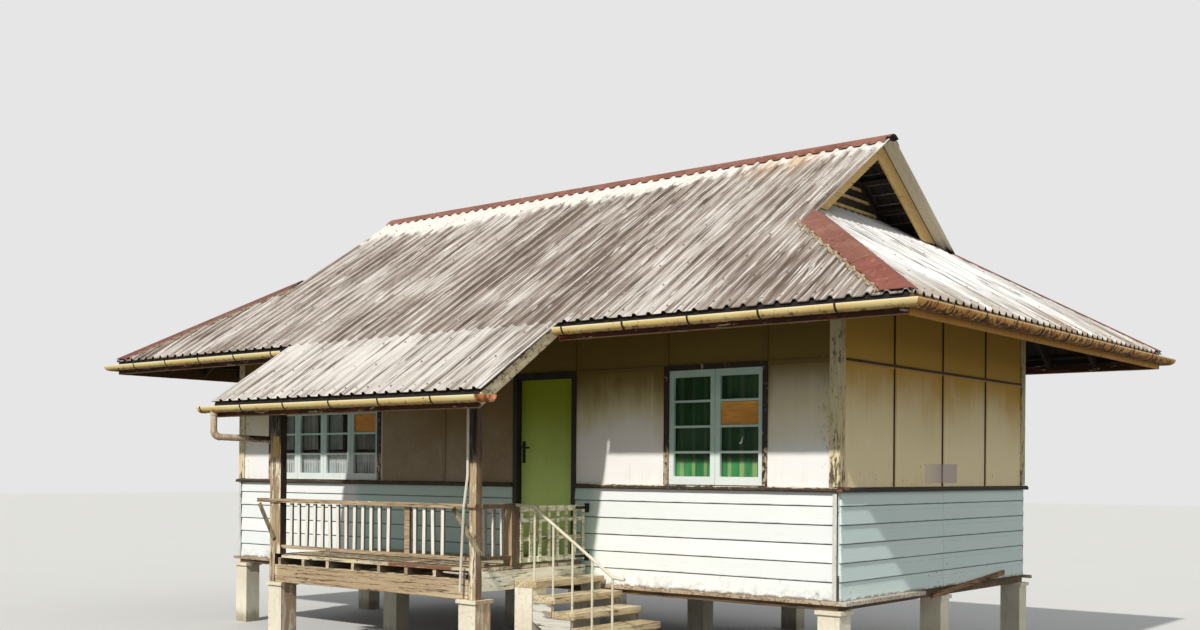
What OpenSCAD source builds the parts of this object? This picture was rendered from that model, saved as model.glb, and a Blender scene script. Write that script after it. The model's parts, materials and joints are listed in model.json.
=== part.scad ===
// A timber house on concrete piers. The roof is hipped with a small open gable (gablet) at each end,
// and its front slope runs on down over a porch, which a flight of steps reaches from the right.
// Millimetres. +Z is up and z = 0 is the ground; +X runs to the right along the front wall, which
// faces -Y. The origin is under the middle of the whole building, gutters included.

/* [House] */
// Length of the front wall
house_w = 9150; // [8200:10:11000]
// Depth of the house from front wall to rear wall
house_d = 4880; // [4200:10:5600]
// Thickness of the framed walls
wall_t = 100; // [80:5:150]
// Height of the floor above the ground
floor_z = 1170; // [1050:10:1600]
// Thickness of the floor boards
floor_t = 25; // [18:1:40]
// Height of the floor joists
floor_joist_h = 175; // [140:5:220]
// Width of a floor joist
floor_joist_w = 50; // [38:1:75]
// Spacing of the floor joists
floor_joist_gap = 610; // [400:10:700]
// Height of the bearers on the piers
bearer_h = 140; // [100:5:180]
// Width of the bearers
bearer_w = 150; // [100:5:200]
// Height of the foot boards on the bearers' outer faces
foot_board_h = 45; // [30:1:70]
// How far the foot boards of the long walls stand out
foot_board_out = 42; // [32:1:60]
// How far the foot boards of the end walls stand out
end_foot_board_out = 110; // [45:5:130]

/* [Piers] */
// Side of a square pier
pier_side = 230; // [180:5:300]
// Thickness of the cap on a pier
pier_cap_t = 38; // [25:1:60]
// How far the cap stands out around its pier
pier_cap_lip = 22; // [10:1:40]
// Number of piers along the front
piers_along = 4; // [3:1:5]
// Number of pier rows from front to rear
pier_rows = 3; // [2:1:4]

/* [Roof] */
// Slope of every roof face, in degrees
pitch = 32; // [26:0.5:38]
// Overhang of the sheets beyond the walls, measured level
overhang = 1240; // [900:10:1400]
// Height of the walls under the eaves plane, from floor to where the sheets cross the wall
storey_h = 3253; // [2900:1:3500]
// Distance from an end wall to the edge of the sheets over a gablet
gablet_inset = 594; // [500:1:700]
// How far the bargeboards stand back under the sheets of a gablet
barge_setback = 166; // [120:1:300]
// How far the gablet's boarded infill stands behind the bargeboards
infill_setback = 460; // [250:5:500]
// Depth of a bargeboard, measured upright
barge_h = 230; // [150:5:260]
// Thickness of a bargeboard
barge_t = 25; // [18:1:35]
// Distance between the ribs of the roof sheets
rib_gap = 170; // [140:2:220]
// Height of a rib
rib_h = 26; // [18:1:32]
// Width of a rib at its foot
rib_foot = 64; // [50:1:80]
// Width of a rib at its top
rib_top = 26; // [18:1:36]
// Thickness of the sheets
sheet_t = 8; // [5:1:12]
// Height of the roof battens
batten_h = 40; // [30:1:60]
// Width of the roof battens
batten_w = 50; // [38:1:75]
// Spacing of the roof battens, measured level
batten_gap = 440; // [350:10:600]
// Level distance from the ridge down to the foot of the top batten
top_batten_gap = 113; // [90:1:250]
// Height of the rafters
rafter_h = 100; // [80:5:150]
// Width of the rafters
rafter_w = 50; // [38:1:75]
// Spacing of the rafters
rafter_gap = 610; // [450:10:700]
// Reach of a hip flashing on each slope, measured level and square to the hip
hip_flash_w = 205; // [120:5:260]
// Distance from the ridge line to the upper ends of the sheets, measured level
ridge_gap = 75; // [50:1:90]
// Reach of the ridge cap on each slope, measured level
ridge_cap_w = 105; // [100:1:200]
// Thickness of the flashings and the ridge cap
flash_t = 6; // [4:1:10]

/* [Gutters] */
// Radius of the half-round gutters
gutter_r = 75; // [50:1:90]
// Thickness of the gutter metal
gutter_t = 5; // [3:1:8]
// How far the gutter's rim hangs below the edge of the sheets
gutter_drop = 55; // [38:1:80]
// Distance between the straps that hold the gutters
strap_gap = 736; // [600:1:1000]
// Width of a gutter strap
strap_w = 20; // [15:1:30]
// Height of the fascia boards
fascia_h = 190; // [150:5:230]
// Thickness of the fascia boards
fascia_t = 25; // [18:1:35]
// How far the fascia stands back from the edge of the sheets
fascia_setback = 20; // [15:1:90]

/* [Walls] */
// Height of the top of the sill belt and of the window sills above the floor
sill_h = 850; // [780:1:950]
// Height of the sill belt
belt_h = 52; // [40:1:70]
// How far the sill belt stands out of the wall
belt_out = 55; // [35:1:70]
// Height of one lapped board
lap_h = 183; // [150:1:220]
// Thickness of a lapped board at its lower edge
lap_foot = 26; // [20:1:32]
// Thickness of a lapped board at its upper edge
lap_head = 10; // [8:1:14]
// How far the lapped boards hang below the floor
siding_drop = 245; // [205:1:300]
// Height of the window heads, the door head and the transom batten above the floor
head_h = 2097; // [2050:1:2200]
// Width of the battens on the upper panels
panel_batten_w = 44; // [30:1:60]
// How far the battens stand out of the wall
panel_batten_out = 14; // [10:1:20]
// Width of the corner boards beside the upper panels
corner_w = 115; // [80:1:130]
// How far the corner boards stand out of the wall
corner_out = 22; // [18:1:40]
// Width of the corner stops that the lapped boards run up to
corner_stop_w = 46; // [35:1:60]
// How far the corner stops stand out of the wall
corner_stop_out = 34; // [28:1:45]
// Width of one panel on the end walls
panel_w = 1220; // [1100:10:1300]

/* [Windows] */
// Distance from the left wall corner to the left window
left_window_from_corner = 640; // [500:5:900]
// Width of the left window, with its frame
left_window_w = 2210; // [1900:10:2300]
// Number of casements in the left window
left_window_sashes = 4; // [3:1:4]
// Distance from the right wall corner to the right window
right_window_from_corner = 766; // [600:1:1000]
// Width of the right window, with its frame
right_window_w = 1221; // [1000:1:1300]
// Number of casements in the right window
right_window_sashes = 2; // [1:1:2]
// Width of the window frame members
window_frame_w = 50; // [35:1:60]
// How far the window frames stand out of the wall
window_frame_out = 24; // [15:1:32]
// Depth of the window frames
window_frame_d = 110; // [90:1:120]
// Width of the stiles and rails of a casement
stile_w = 56; // [40:1:70]
// Height of a casement's bottom rail
bottom_rail_h = 84; // [70:1:110]
// Height of a casement's top rail
top_rail_h = 72; // [50:1:90]
// Width of the bars between panes
pane_bar_w = 24; // [18:1:32]
// Number of panes one above the other in a casement
panes_high = 4; // [3:1:5]
// Thickness of a casement
sash_t = 36; // [30:1:44]
// Distance from the wall's face to the casement's face
sash_setback = 6; // [2:1:12]
// Thickness of the window glass
glass_t = 5; // [4:1:8]

/* [Door] */
// Distance from the right wall corner to the clear door opening
door_from_corner = 3220; // [3150:5:3300]
// Width of the clear door opening
door_w = 800; // [760:5:860]
// Width of the door frame members
door_frame_w = 57; // [40:1:70]
// How far the door frame stands out of the wall
door_frame_out = 22; // [15:1:30]
// Thickness of the door leaf
door_t = 40; // [35:1:50]
// Gap around the door leaf
door_gap = 6; // [5:0.5:10]
// Width of the stop that the door leaf closes against
door_stop = 12; // [8:1:20]
// Height of the door handle above the floor
door_handle_h = 1200; // [950:5:1300]

/* [Porch] */
// Width of the porch frame
porch_w = 3240; // [2800:10:3400]
// Distance from the right wall corner to the porch's right side
porch_from_corner = 3000; // [2950:5:3100]
// Depth of the porch from its front to the wall
porch_d = 1850; // [1600:10:2000]
// Width of the porch roof
porch_roof_w = 4175; // [3900:5:4400]
// How far the porch roof stands out to the right of the porch
porch_roof_right = 545; // [400:5:600]
// How far the porch roof runs out in front of the porch
porch_eave = 550; // [450:10:650]
// How far the porch gutter runs on past the left edge of the porch roof
porch_gutter_left = 110; // [40:5:160]
// How far the porch gutter runs on past the right edge of the porch roof
porch_gutter_right = 185; // [40:5:220]
// Depth of a rake board of the porch roof, measured upright
rake_h = 140; // [100:5:170]
// How far the rake boards have dropped away from the sheets at their feet
rake_sag = 38; // [5:1:60]
// Thickness of the deck boards
deck_t = 40; // [25:1:50]
// Width of a deck board
deck_board_w = 140; // [100:5:180]
// Gap between deck boards
deck_board_gap = 9; // [5:1:15]
// Height of the porch joists
porch_joist_h = 80; // [60:5:110]
// Spacing of the porch joists
porch_joist_gap = 440; // [380:5:520]
// Height of the porch's front beam
porch_beam_h = 205; // [160:5:240]
// Thickness of the porch's front beam
porch_beam_t = 120; // [90:5:150]
// Side of a porch post
post_side = 97; // [80:1:120]
// Height of the top of the handrail above the deck
rail_h = 645; // [600:5:900]
// Height of the handrail's section
rail_t = 50; // [40:1:60]
// Height of the underside of the bottom rail above the deck
low_rail_h = 66; // [50:1:120]
// Height of the bottom rail's section
low_rail_t = 42; // [35:1:55]
// Spacing of the balusters
baluster_gap = 133; // [110:1:160]
// Width of a baluster
baluster_w = 46; // [38:1:70]
// Thickness of a baluster
baluster_t = 30; // [22:1:40]
// Width of the newel post at the steps
newel_side = 120; // [95:1:140]
// Distance from the wall to the newel post's far side
newel_from_wall = 1290; // [1200:10:1400]
// Distance from the porch's right side to the bare post in the balustrade
mid_post_from_right = 950; // [600:10:1400]
// Width of the bare post in the balustrade
mid_post_w = 80; // [60:1:100]
// Distance from the porch's left side to the middle of the first baluster
first_baluster = 368; // [300:1:450]
// Reach of the handrail past the left post
rail_tail = 215; // [100:5:250]
// How far the handrail stands out in front of the posts
rail_out = 20; // [10:1:30]
// Width of the loose struts at the posts
strut_w = 50; // [35:1:70]
// Thickness of the loose struts
strut_t = 25; // [18:1:32]
// Level reach of the strut at the left post
left_strut_run = 270; // [220:5:320]
// Fall of the strut at the left post
left_strut_fall = 405; // [300:5:450]
// Level reach of the strut at the right post
right_strut_run = 390; // [300:5:450]
// Fall of the strut at the right post
right_strut_fall = 475; // [400:5:520]
// Distance from the front wall to the loose plank along the right end wall
plank_from_front = 2067; // [1500:1:2200]
// Length of the loose plank
plank_l = 2104; // [1800:1:2300]
// Distance from the loose plank to the end of the foot board that is still in place
plank_break = 280; // [100:10:900]

/* [Steps and gate] */
// Number of treads between the porch and the ground
treads = 7; // [6:1:8]
// Depth of a tread
tread_d = 294; // [260:1:340]
// Distance from one tread's edge to the next, measured level
going = 247; // [220:1:280]
// Thickness of a tread
tread_t = 76; // [50:1:80]
// Thickness of a stair string
string_t = 50; // [40:1:60]
// Height of a string under the line of its notches, measured upright
string_h = 190; // [150:5:240]
// Outer radius of the pipe handrail
pipe_r = 16; // [13:1:22]
// Distance from the porch's right side to the handrail's first bend
handrail_level = 233; // [200:1:240]
// Level reach of the handrail's slope
handrail_run = 1017; // [950:1:1100]
// Fall of the handrail's slope
handrail_fall = 668; // [600:1:700]
// Length of the handrail's foot
handrail_foot = 131; // [80:1:180]
// Radius of the bends in the pipes, at the middle of the pipe
pipe_bend = 70; // [50:1:100]
// Thickness of the gate's rails
gate_rail_t = 32; // [25:1:40]
// Thickness of the gate's slats
gate_slat_t = 18; // [14:1:24]
// Gap between the gate and what stands beside it
gate_gap = 12; // [8:1:20]
// Height of the gate
gate_h = 596; // [500:1:620]
// Height of the gate's foot above the deck
gate_lift = 20; // [12:1:40]
// Distance between the gate's slats, middle to middle
gate_slat_gap = 145; // [100:1:180]
// Width of a slat of the gate
gate_slat_w = 45; // [30:1:60]
// Outer radius of the thin downpipe at the right post
downpipe_r = 14; // [12:1:20]
// Outer radius of the broken downpipe at the left end of the porch gutter
broken_pipe_r = 38; // [30:1:45]
// Wall thickness of a pipe's elbow fitting
fitting_t = 3; // [2:0.5:5]

/* [Hidden] */

// Roundness of the turned and drawn parts
round_fn = 32;
// A cut or a reach that is surely longer than what it crosses
far = 20000;
// Clearance between neighbouring pieces of one node
split = 2;
// Open joint between the end walls' lapped boards and the line of the long walls
corner_joint = 25;

slope = tan(pitch);
// Level of the undersides of the sheets at their lower edges
eave_z = floor_z + storey_h - overhang * slope;
// Upright measure of a thickness that is square to the roof
function upright(t) = t / cos(pitch);
// Height of the sheets' underside at a distance y behind the front wall
function roof_z(y) = eave_z + (y + overhang) * slope;
ridge_z = roof_z(house_d / 2);

half_w = house_w / 2;
eave_x = half_w + overhang;
verge_x = half_w - gablet_inset;
barge_x = verge_x - barge_setback;
infill_x = barge_x - infill_setback;

gutter_out = 2 * gutter_r - fascia_setback;
porch_front = -porch_d - porch_eave;
// The front wall's place, with the origin under the middle of the whole
front_y = -((house_d + overhang + gutter_out) + (porch_front - gutter_out)) / 2;

sill_z = floor_z + sill_h;
belt_z = sill_z - belt_h;
siding_z = floor_z - siding_drop;
head_z = floor_z + head_h;
bearer_top = floor_z - floor_t - floor_joist_h;
bearer_z = bearer_top - bearer_h;

door_x1 = half_w - door_from_corner;
door_x0 = door_x1 - door_w;
door_top = head_z - door_frame_w;
left_window_x = -half_w + left_window_from_corner;
right_window_x = half_w - right_window_from_corner - right_window_w;

porch_x1 = half_w - porch_from_corner;
porch_x0 = porch_x1 - porch_w;
porch_roof_x1 = porch_x1 + porch_roof_right;
porch_roof_x0 = porch_roof_x1 - porch_roof_w;
deck_z = floor_z - deck_t;
porch_beam_z = deck_z - porch_joist_h - porch_beam_h;
rail_z = floor_z + rail_h;
newel_y = -newel_from_wall;
riser = floor_z / (treads + 1);
stair_y0 = newel_y + 40;
// The far ends of the treads clear the caps of the house's piers
stair_y1 = bearer_w / 2 - pier_side / 2 - pier_cap_lip - 8;
// Level of a tread's top, counted from the porch
function tread_z(i) = riser * (treads - i);
// Upright measure of battens and rafters together
roof_frame = upright(batten_h + rafter_h);

// Everything below is drawn from the front wall's face and moved into place here
module placed() {
    translate([0, front_y, 0])
        children();
}

module mirrored_x() {
    children();
    mirror([1, 0, 0])
        children();
}

// A block given by its lowest and highest corner
module block(low, high) {
    translate(low)
        cube(high - low);
}

// A round bar between two points
module bar(a, b, r) {
    d = b - a;
    length = norm(d);
    translate(a)
        rotate([0, acos(d.z / length), atan2(d.y, d.x)])
            cylinder(h = length, r = r, $fn = round_fn);
}

function unit(v) = v / norm(v);

// A round pipe through points, with an elbow fitting at every turn that the straights run into
module pipe(points, r, bend) {
    last = len(points) - 1;
    cut = [for (i = [0:last]) i == 0 || i == last ? 0 :
        let (a = unit(points[i - 1] - points[i]), b = unit(points[i + 1] - points[i]))
        bend * tan(90 - acos(a * b) / 2)];
    seat = [for (i = [0:last]) i == 0 || i == last ? 0 : min(8, cut[i] / 2)];
    for (i = [0:last - 1]) {
        d = unit(points[i + 1] - points[i]);
        bar(points[i] + (cut[i] - seat[i]) * d, points[i + 1] - (cut[i + 1] - seat[i + 1]) * d, r);
    }
    for (i = [1:last - 1]) {
        a = unit(points[i - 1] - points[i]);
        b = unit(points[i + 1] - points[i]);
        turn = 180 - acos(a * b);
        centre = points[i] + unit(a + b) * bend / cos(turn / 2);
        u = unit(points[i] + a * cut[i] - centre);
        w = cross(u, -a);
        multmatrix([[u.x, -a.x, w.x, centre.x], [u.y, -a.y, w.y, centre.y],
                    [u.z, -a.z, w.z, centre.z], [0, 0, 0, 1]])
            rotate_extrude(angle = turn, $fn = 2 * round_fn)
                translate([bend, 0])
                    circle(r = r + fitting_t, $fn = round_fn);
    }
}

// Puts flat work, drawn with +Y up the slope and +Z off it, on one roof face
module on_front_slope() {
    translate([0, -overhang, eave_z])
        rotate([pitch, 0, 0])
            children();
}

module on_rear_slope() {
    translate([0, house_d, 0])
        mirror([0, 1, 0])
            on_front_slope()
                children();
}

module on_right_slope() {
    translate([eave_x, house_d / 2, eave_z])
        rotate([0, 0, 90])
            rotate([pitch, 0, 0])
                children();
}

module prism(points) {
    linear_extrude(height = 2 * ridge_z)
        polygon(points);
}

// Plan of the front slope, drawn back from the hips by a distance and ended at a given x
function front_plan(back, end_x) =
    let (k = back * sqrt(2), y1 = half_w - end_x - k)
    [[-eave_x + k, -overhang], [eave_x - k, -overhang], [end_x, y1], [end_x, house_d / 2],
     [-end_x, house_d / 2], [-end_x, y1]];

// Plan of the right slope, with a greater draw back under the open gablet
function right_plan(back, under, end_x) =
    let (k = back * sqrt(2), u = under * sqrt(2), y0 = half_w - verge_x, y1 = half_w - end_x)
    [[eave_x, -overhang + k], [eave_x, house_d + overhang - k], [verge_x, house_d - y0 - k],
     [verge_x, house_d - y0 - u], [end_x, house_d - y1 - u], [end_x, y1 + u],
     [verge_x, y0 + u], [verge_x, y0 + k]];

// A ribbed sheet that lies on z = 0 between two x and runs up +Y; its ribs keep to one grid
module ribbed_sheet(x0, x1, length) {
    first = ceil((x0 + rib_foot / 2) / rib_gap);
    final = floor((x1 - rib_foot / 2) / rib_gap);
    rib = [[-rib_foot / 2, 0], [-rib_top / 2, rib_h], [rib_top / 2, rib_h], [rib_foot / 2, 0]];
    face = concat([[x0, 0]], [for (i = [first:final], p = rib) [i * rib_gap + p.x, p.y]], [[x1, 0]]);
    last = len(face) - 1;
    translate([0, length, 0])
        rotate([90, 0, 0])
            linear_extrude(height = length)
                polygon(concat([for (p = face) p + [0, sheet_t]], [for (i = [0:last]) face[last - i]]));
}

// The space under the roof, drawn down from the sheets by a thickness
module under_roof(drop) {
    below = 2 * ridge_z;
    intersection() {
        on_front_slope()
            translate([-far / 2, -far / 2, -below - drop])
                cube([far, far, below]);
        on_rear_slope()
            translate([-far / 2, -far / 2, -below - drop])
                cube([far, far, below]);
        on_right_slope()
            translate([-far / 2, -far / 2, -below - drop])
                cube([far, far, below]);
        mirror([1, 0, 0])
            on_right_slope()
                translate([-far / 2, -far / 2, -below - drop])
                    cube([far, far, below]);
    }
}

module pier(x, y, top) {
    half = pier_side / 2;
    lip = half + pier_cap_lip;
    block([x - half, y - half, 0], [x + half, y + half, top - pier_cap_t]);
    block([x - lip, y - lip, top - pier_cap_t], [x + lip, y + lip, top]);
}

// Piers in rows under the bearers
module house_piers() color("gainsboro") placed() {
    edge = bearer_w / 2;
    for (i = [0:piers_along - 1], j = [0:pier_rows - 1])
        pier(-half_w + edge + i * (house_w - 2 * edge) / (piers_along - 1),
             edge + j * (house_d - 2 * edge) / (pier_rows - 1), bearer_z);
}

// Two piers under the porch posts and a plain one that carries the first tread
module porch_piers() color("white") placed() {
    y = -porch_d + pier_side / 2 - 5;
    pier(porch_x1 - pier_side / 2 + 5, y, porch_beam_z);
    pier(porch_x0 + pier_side / 2 - 5, y, porch_beam_z);
    block([porch_x1 + 10, stair_y0, 0], [porch_x1 + going - 5, stair_y0 + pier_side, tread_z(0) - tread_t]);
}

// Bearers along the rows of piers, and across the ends between them
module bearers() color("rosybrown") placed() {
    for (j = [0:pier_rows - 1]) {
        y = j * (house_d - bearer_w) / (pier_rows - 1);
        block([-half_w, y, bearer_z], [half_w, y + bearer_w, bearer_top]);
    }
    for (side = [-1, 1], j = [0:pier_rows - 2]) {
        x = side * (half_w - bearer_w / 2);
        y = j * (house_d - bearer_w) / (pier_rows - 1);
        block([x - bearer_w / 2, y + bearer_w + split, bearer_z],
              [x + bearer_w / 2, y + (house_d - bearer_w) / (pier_rows - 1) - split, bearer_top]);
    }
}

// Boards round the outer faces of the bearers, just under the lapped boards. The right end wall has
// lost its rear length, which hangs loose.
module foot_boards() color("rosybrown") placed() {
    foot = siding_z - foot_board_h;
    edge = half_w + end_foot_board_out;
    for (y = [-foot_board_out, house_d])
        block([-edge, y, foot], [edge, y + foot_board_out, siding_z]);
    block([-edge, split, foot], [-half_w, house_d - split, siding_z]);
    block([half_w, split, foot], [edge, plank_from_front - plank_break, siding_z]);
}

module floor_joists() color("burlywood") placed() {
    count = ceil((house_w - floor_joist_w) / floor_joist_gap);
    step = (house_w - floor_joist_w) / count;
    for (i = [0:count]) {
        x = -half_w + i * step;
        block([x, floor_joist_w + split, bearer_top],
              [x + floor_joist_w, house_d - floor_joist_w - split, bearer_top + floor_joist_h]);
    }
    for (y = [0, house_d - floor_joist_w])
        block([-half_w, y, bearer_top], [half_w, y + floor_joist_w, bearer_top + floor_joist_h]);
}

module floor_slab() color("peru") placed()
    block([-half_w, 0, floor_z - floor_t], [half_w, house_d, floor_z]);

// A window opening: its left edge, width, and which wall it is in
windows = [
    [left_window_x, left_window_w, left_window_sashes],
    [right_window_x, right_window_w, right_window_sashes]
];

module window_holes() {
    for (w = windows)
        block([w[0], -far / 10, sill_z], [w[0] + w[1], wall_t + belt_out, head_z]);
}

// A stretch of the front wall with its top bevelled to the rafters
module front_wall_part(x0, x1, z0) {
    intersection() {
        block([x0, 0, z0], [x1, wall_t, ridge_z]);
        under_roof(batten_h + rafter_h);
    }
}

module front_wall_left() color("tan") placed() difference() {
    front_wall_part(-half_w, door_x0 - door_frame_w, floor_z);
    window_holes();
}

module front_wall_right() color("tan") placed() difference() {
    front_wall_part(door_x1 + door_frame_w, half_w, floor_z);
    window_holes();
}

module front_wall_over_door() color("tan") placed()
    front_wall_part(door_x0 - door_frame_w, door_x1 + door_frame_w, door_top + door_frame_w);

// The rear wall repeats the right window at the same distance from each corner
rear_windows = [
    [-half_w + right_window_from_corner, right_window_w, right_window_sashes],
    [right_window_x, right_window_w, right_window_sashes]
];

module rear_wall() color("tan") placed() difference() {
    intersection() {
        block([-half_w, house_d - wall_t, floor_z], [half_w, house_d, ridge_z]);
        under_roof(batten_h + rafter_h);
    }
    for (w = rear_windows)
        block([w[0], house_d - wall_t - belt_out, sill_z], [w[0] + w[1], house_d + far / 10, head_z]);
}

module right_end() {
    intersection() {
        block([half_w - wall_t, wall_t, floor_z], [half_w, house_d - wall_t, ridge_z]);
        under_roof(batten_h + rafter_h);
    }
}

module right_end_wall() color("tan") placed()
    right_end();

module left_end_wall() color("tan") placed()
    mirror([1, 0, 0])
        right_end();

// Lapped boards on a wall that faces -Y, between two x
module lap_boards(x0, x1) {
    count = ceil((belt_z - siding_z) / lap_h);
    outline = [for (i = [0:count - 1], p = [[lap_foot, 0], [lap_head, 1]])
        [-p[0], min(siding_z + (i + p[1]) * lap_h, belt_z)]];
    translate([x1, 0, 0])
        rotate([90, 0, -90])
            linear_extrude(height = x1 - x0)
                mirror([1, 0])
                    polygon(concat([[0, siding_z]], outline, [[0, belt_z]]));
}

module lap_siding() color("azure") placed() {
    edge = half_w - corner_stop_w;
    lap_boards(-edge, door_x0 - door_frame_w);
    lap_boards(door_x1 + door_frame_w, edge);
    translate([0, house_d, 0])
        rotate([0, 0, 180])
            lap_boards(-edge, edge);
    mirrored_x()
        translate([half_w, 0, 0])
            rotate([0, 0, 90])
                lap_boards(corner_joint, house_d - corner_joint);
}

// The belt that the windows stand on, with a weathered slope on its top; the belts of the long walls
// run on round the corners
module belt(length) {
    rotate([90, 0, 90])
        linear_extrude(height = length)
            polygon([[0, belt_z], [-belt_out, belt_z], [-belt_out, sill_z - 14], [0, sill_z]]);
}

module sill_belt() color("sienna") placed() {
    edge = half_w + belt_out;
    translate([-edge, 0, 0])
        belt(door_x0 - door_frame_w + edge);
    translate([door_x1 + door_frame_w, 0, 0])
        belt(edge - door_x1 - door_frame_w);
    translate([edge, house_d, 0])
        rotate([0, 0, 180])
            belt(2 * edge);
    mirrored_x()
        translate([half_w, split, 0])
            rotate([0, 0, 90])
                belt(house_d - 2 * split);
}

// An L of two boards round each corner over the belt, and a narrow stop under it
module corner_boards() color("gainsboro") placed() {
    top = roof_z(-corner_out) - roof_frame - 2 * split;
    mirrored_x()
        for (flip = [0, 1])
            translate([0, flip * house_d, 0])
                mirror([0, flip, 0]) {
                    difference() {
                        block([half_w + corner_out - corner_w, -corner_out, sill_z + split],
                              [half_w + corner_out, corner_w - corner_out, top]);
                        block([0, 0, 0], [half_w, house_d, ridge_z]);
                    }
                    block([half_w - corner_stop_w, -corner_stop_out, siding_z],
                          [half_w, 0, belt_z - split]);
                }
}

// Battens over the joints of the upper panels. Those above a window or the door line up with the
// outer edges of its frame.
front_batten_x = [
    left_window_x + panel_batten_w / 2,
    left_window_x + left_window_w - panel_batten_w / 2,
    right_window_x + panel_batten_w / 2,
    right_window_x + right_window_w - panel_batten_w / 2,
    door_x0 - door_frame_w + panel_batten_w / 2,
    door_x1 + door_frame_w - panel_batten_w / 2
];
free_batten_x = (left_window_x + left_window_w + door_x0 - door_frame_w) / 2;

module upright_batten(x, z0, z1) {
    block([x - panel_batten_w / 2, -panel_batten_out, z0], [x + panel_batten_w / 2, 0, z1]);
}

// A transom batten along a wall that faces -Y, cut away for the frames that stand in it
module transom(x0, x1, frames) {
    difference() {
        block([x0, -panel_batten_out, head_z - panel_batten_w], [x1, 0, head_z]);
        for (f = frames)
            block([f[0] - split, -far, 0], [f[0] + f[1] + split, far, ridge_z]);
    }
}

module panel_battens() color("wheat") placed() {
    low = head_z - panel_batten_w;
    top = roof_z(-panel_batten_out) - roof_frame - split;
    edge = half_w - corner_w + corner_out - split;
    transom(-edge, edge, concat(windows, [[door_x0 - door_frame_w, door_w + 2 * door_frame_w]]));
    for (x = concat(front_batten_x, [free_batten_x]))
        upright_batten(x, head_z, top);
    upright_batten(free_batten_x, sill_z, low);
    // Rear wall
    translate([0, house_d, 0])
        rotate([0, 0, 180]) {
            transom(-edge, edge, [for (w = rear_windows) [-w[0] - w[1], w[1]]]);
            for (x = [-2 * panel_w, -panel_w, 0, panel_w, 2 * panel_w])
                upright_batten(x, head_z, top);
            for (x = [-panel_w, 0, panel_w])
                upright_batten(x, sill_z, low);
        }
    // End walls
    mirrored_x()
        translate([half_w, 0, 0])
            rotate([0, 0, 90]) {
                first = corner_w - corner_out + split;
                transom(first, house_d - first, []);
                for (x = [panel_w:panel_w:house_d - first - panel_batten_w]) {
                    upright_batten(x, head_z, top);
                    upright_batten(x, sill_z, low);
                }
            }
}

// Frame of one window, with its left foot at the origin of the opening
module window_frame(width) {
    height = head_z - sill_z;
    difference() {
        block([0, -window_frame_out, 0], [width, window_frame_d - window_frame_out, height]);
        block([window_frame_w, -far, split], [width - window_frame_w, far, height - window_frame_w]);
    }
}

module window_frames() color("saddlebrown") placed() {
    for (w = windows)
        translate([w[0], 0, sill_z])
            window_frame(w[1]);
    for (w = rear_windows)
        translate([w[0] + w[1], house_d, sill_z])
            rotate([0, 0, 180])
                window_frame(w[1]);
}

// One casement with its bars, hung in a clear space of given width and height
module casement(width, height) {
    inner_h = height - top_rail_h - bottom_rail_h;
    pane_h = (inner_h - (panes_high - 1) * pane_bar_w) / panes_high;
    difference() {
        block([0, 0, 0], [width, sash_t, height]);
        for (i = [0:panes_high - 1])
            translate([stile_w, -1, bottom_rail_h + i * (pane_h + pane_bar_w)])
                cube([width - 2 * stile_w, sash_t + 2, pane_h]);
    }
}

module casements(width, count) {
    clear_w = width - 2 * window_frame_w;
    height = head_z - sill_z - window_frame_w - 2 * split;
    each_w = clear_w / count;
    for (i = [0:count - 1])
        translate([window_frame_w + i * each_w + split, sash_setback, 2 * split])
            casement(each_w - 2 * split, height - split);
}

module window_sashes() color("lightcyan") placed() {
    for (w = windows)
        translate([w[0], 0, sill_z])
            casements(w[1], w[2]);
    for (w = rear_windows)
        translate([w[0] + w[1], house_d, sill_z])
            rotate([0, 0, 180])
                casements(w[1], w[2]);
}

// One sheet of glass behind the casements of each window
module glass_sheet(width) {
    block([window_frame_w + split, sash_setback + sash_t, 3 * split],
          [width - window_frame_w - split, sash_setback + sash_t + glass_t,
           head_z - sill_z - window_frame_w - split]);
}

module window_glass() color("lightblue") placed() {
    for (w = windows)
        translate([w[0], 0, sill_z])
            glass_sheet(w[1]);
    for (w = rear_windows)
        translate([w[0] + w[1], house_d, sill_z])
            rotate([0, 0, 180])
                glass_sheet(w[1]);
}

// Jambs and head, with a narrow stop that the leaf closes against; the leaf opens inwards
leaf_y = wall_t - door_t;
module door_frame() color("black") placed() {
    difference() {
        block([door_x0 - door_frame_w, -door_frame_out, floor_z],
              [door_x1 + door_frame_w, wall_t, door_top + door_frame_w]);
        block([door_x0, -far, 0], [door_x1, far, door_top]);
    }
    difference() {
        block([door_x0, leaf_y - split - door_stop, floor_z], [door_x1, leaf_y - split, door_top]);
        block([door_x0 + door_stop, -far, 0], [door_x1 - door_stop, far, door_top - door_stop]);
    }
}

module door_leaf() color("olivedrab") placed()
    block([door_x0 + door_gap, leaf_y, floor_z + door_gap + 2], [door_x1 - door_gap, wall_t, door_top - door_gap]);

// A long plate with a lever, on the outer face near the leaf's left edge
module door_handle() color("dimgray") placed() {
    x = door_x0 + door_gap + 45;
    z = floor_z + door_handle_h;
    block([x - 20, leaf_y - 6, z - 125], [x + 20, leaf_y, z + 125]);
    bar([x, leaf_y - 6, z + 50], [x, leaf_y - 45, z + 50], 9);
    bar([x - 9, leaf_y - 45, z + 50], [x + 110, leaf_y - 45, z + 50], 9);
}

// Butt hinges on the inner face: each has a pin with two knuckles on the frame's plate and one
// knuckle between them on the leaf's plate
hinge_r = 7;
hinge_pin_r = 3;
hinge_h = 90;
hinge_x = door_x1 - door_gap / 2;
hinge_y = wall_t + hinge_r;
hinge_levels = [floor_z + 200, floor_z + 1000, door_top - 290];

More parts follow.
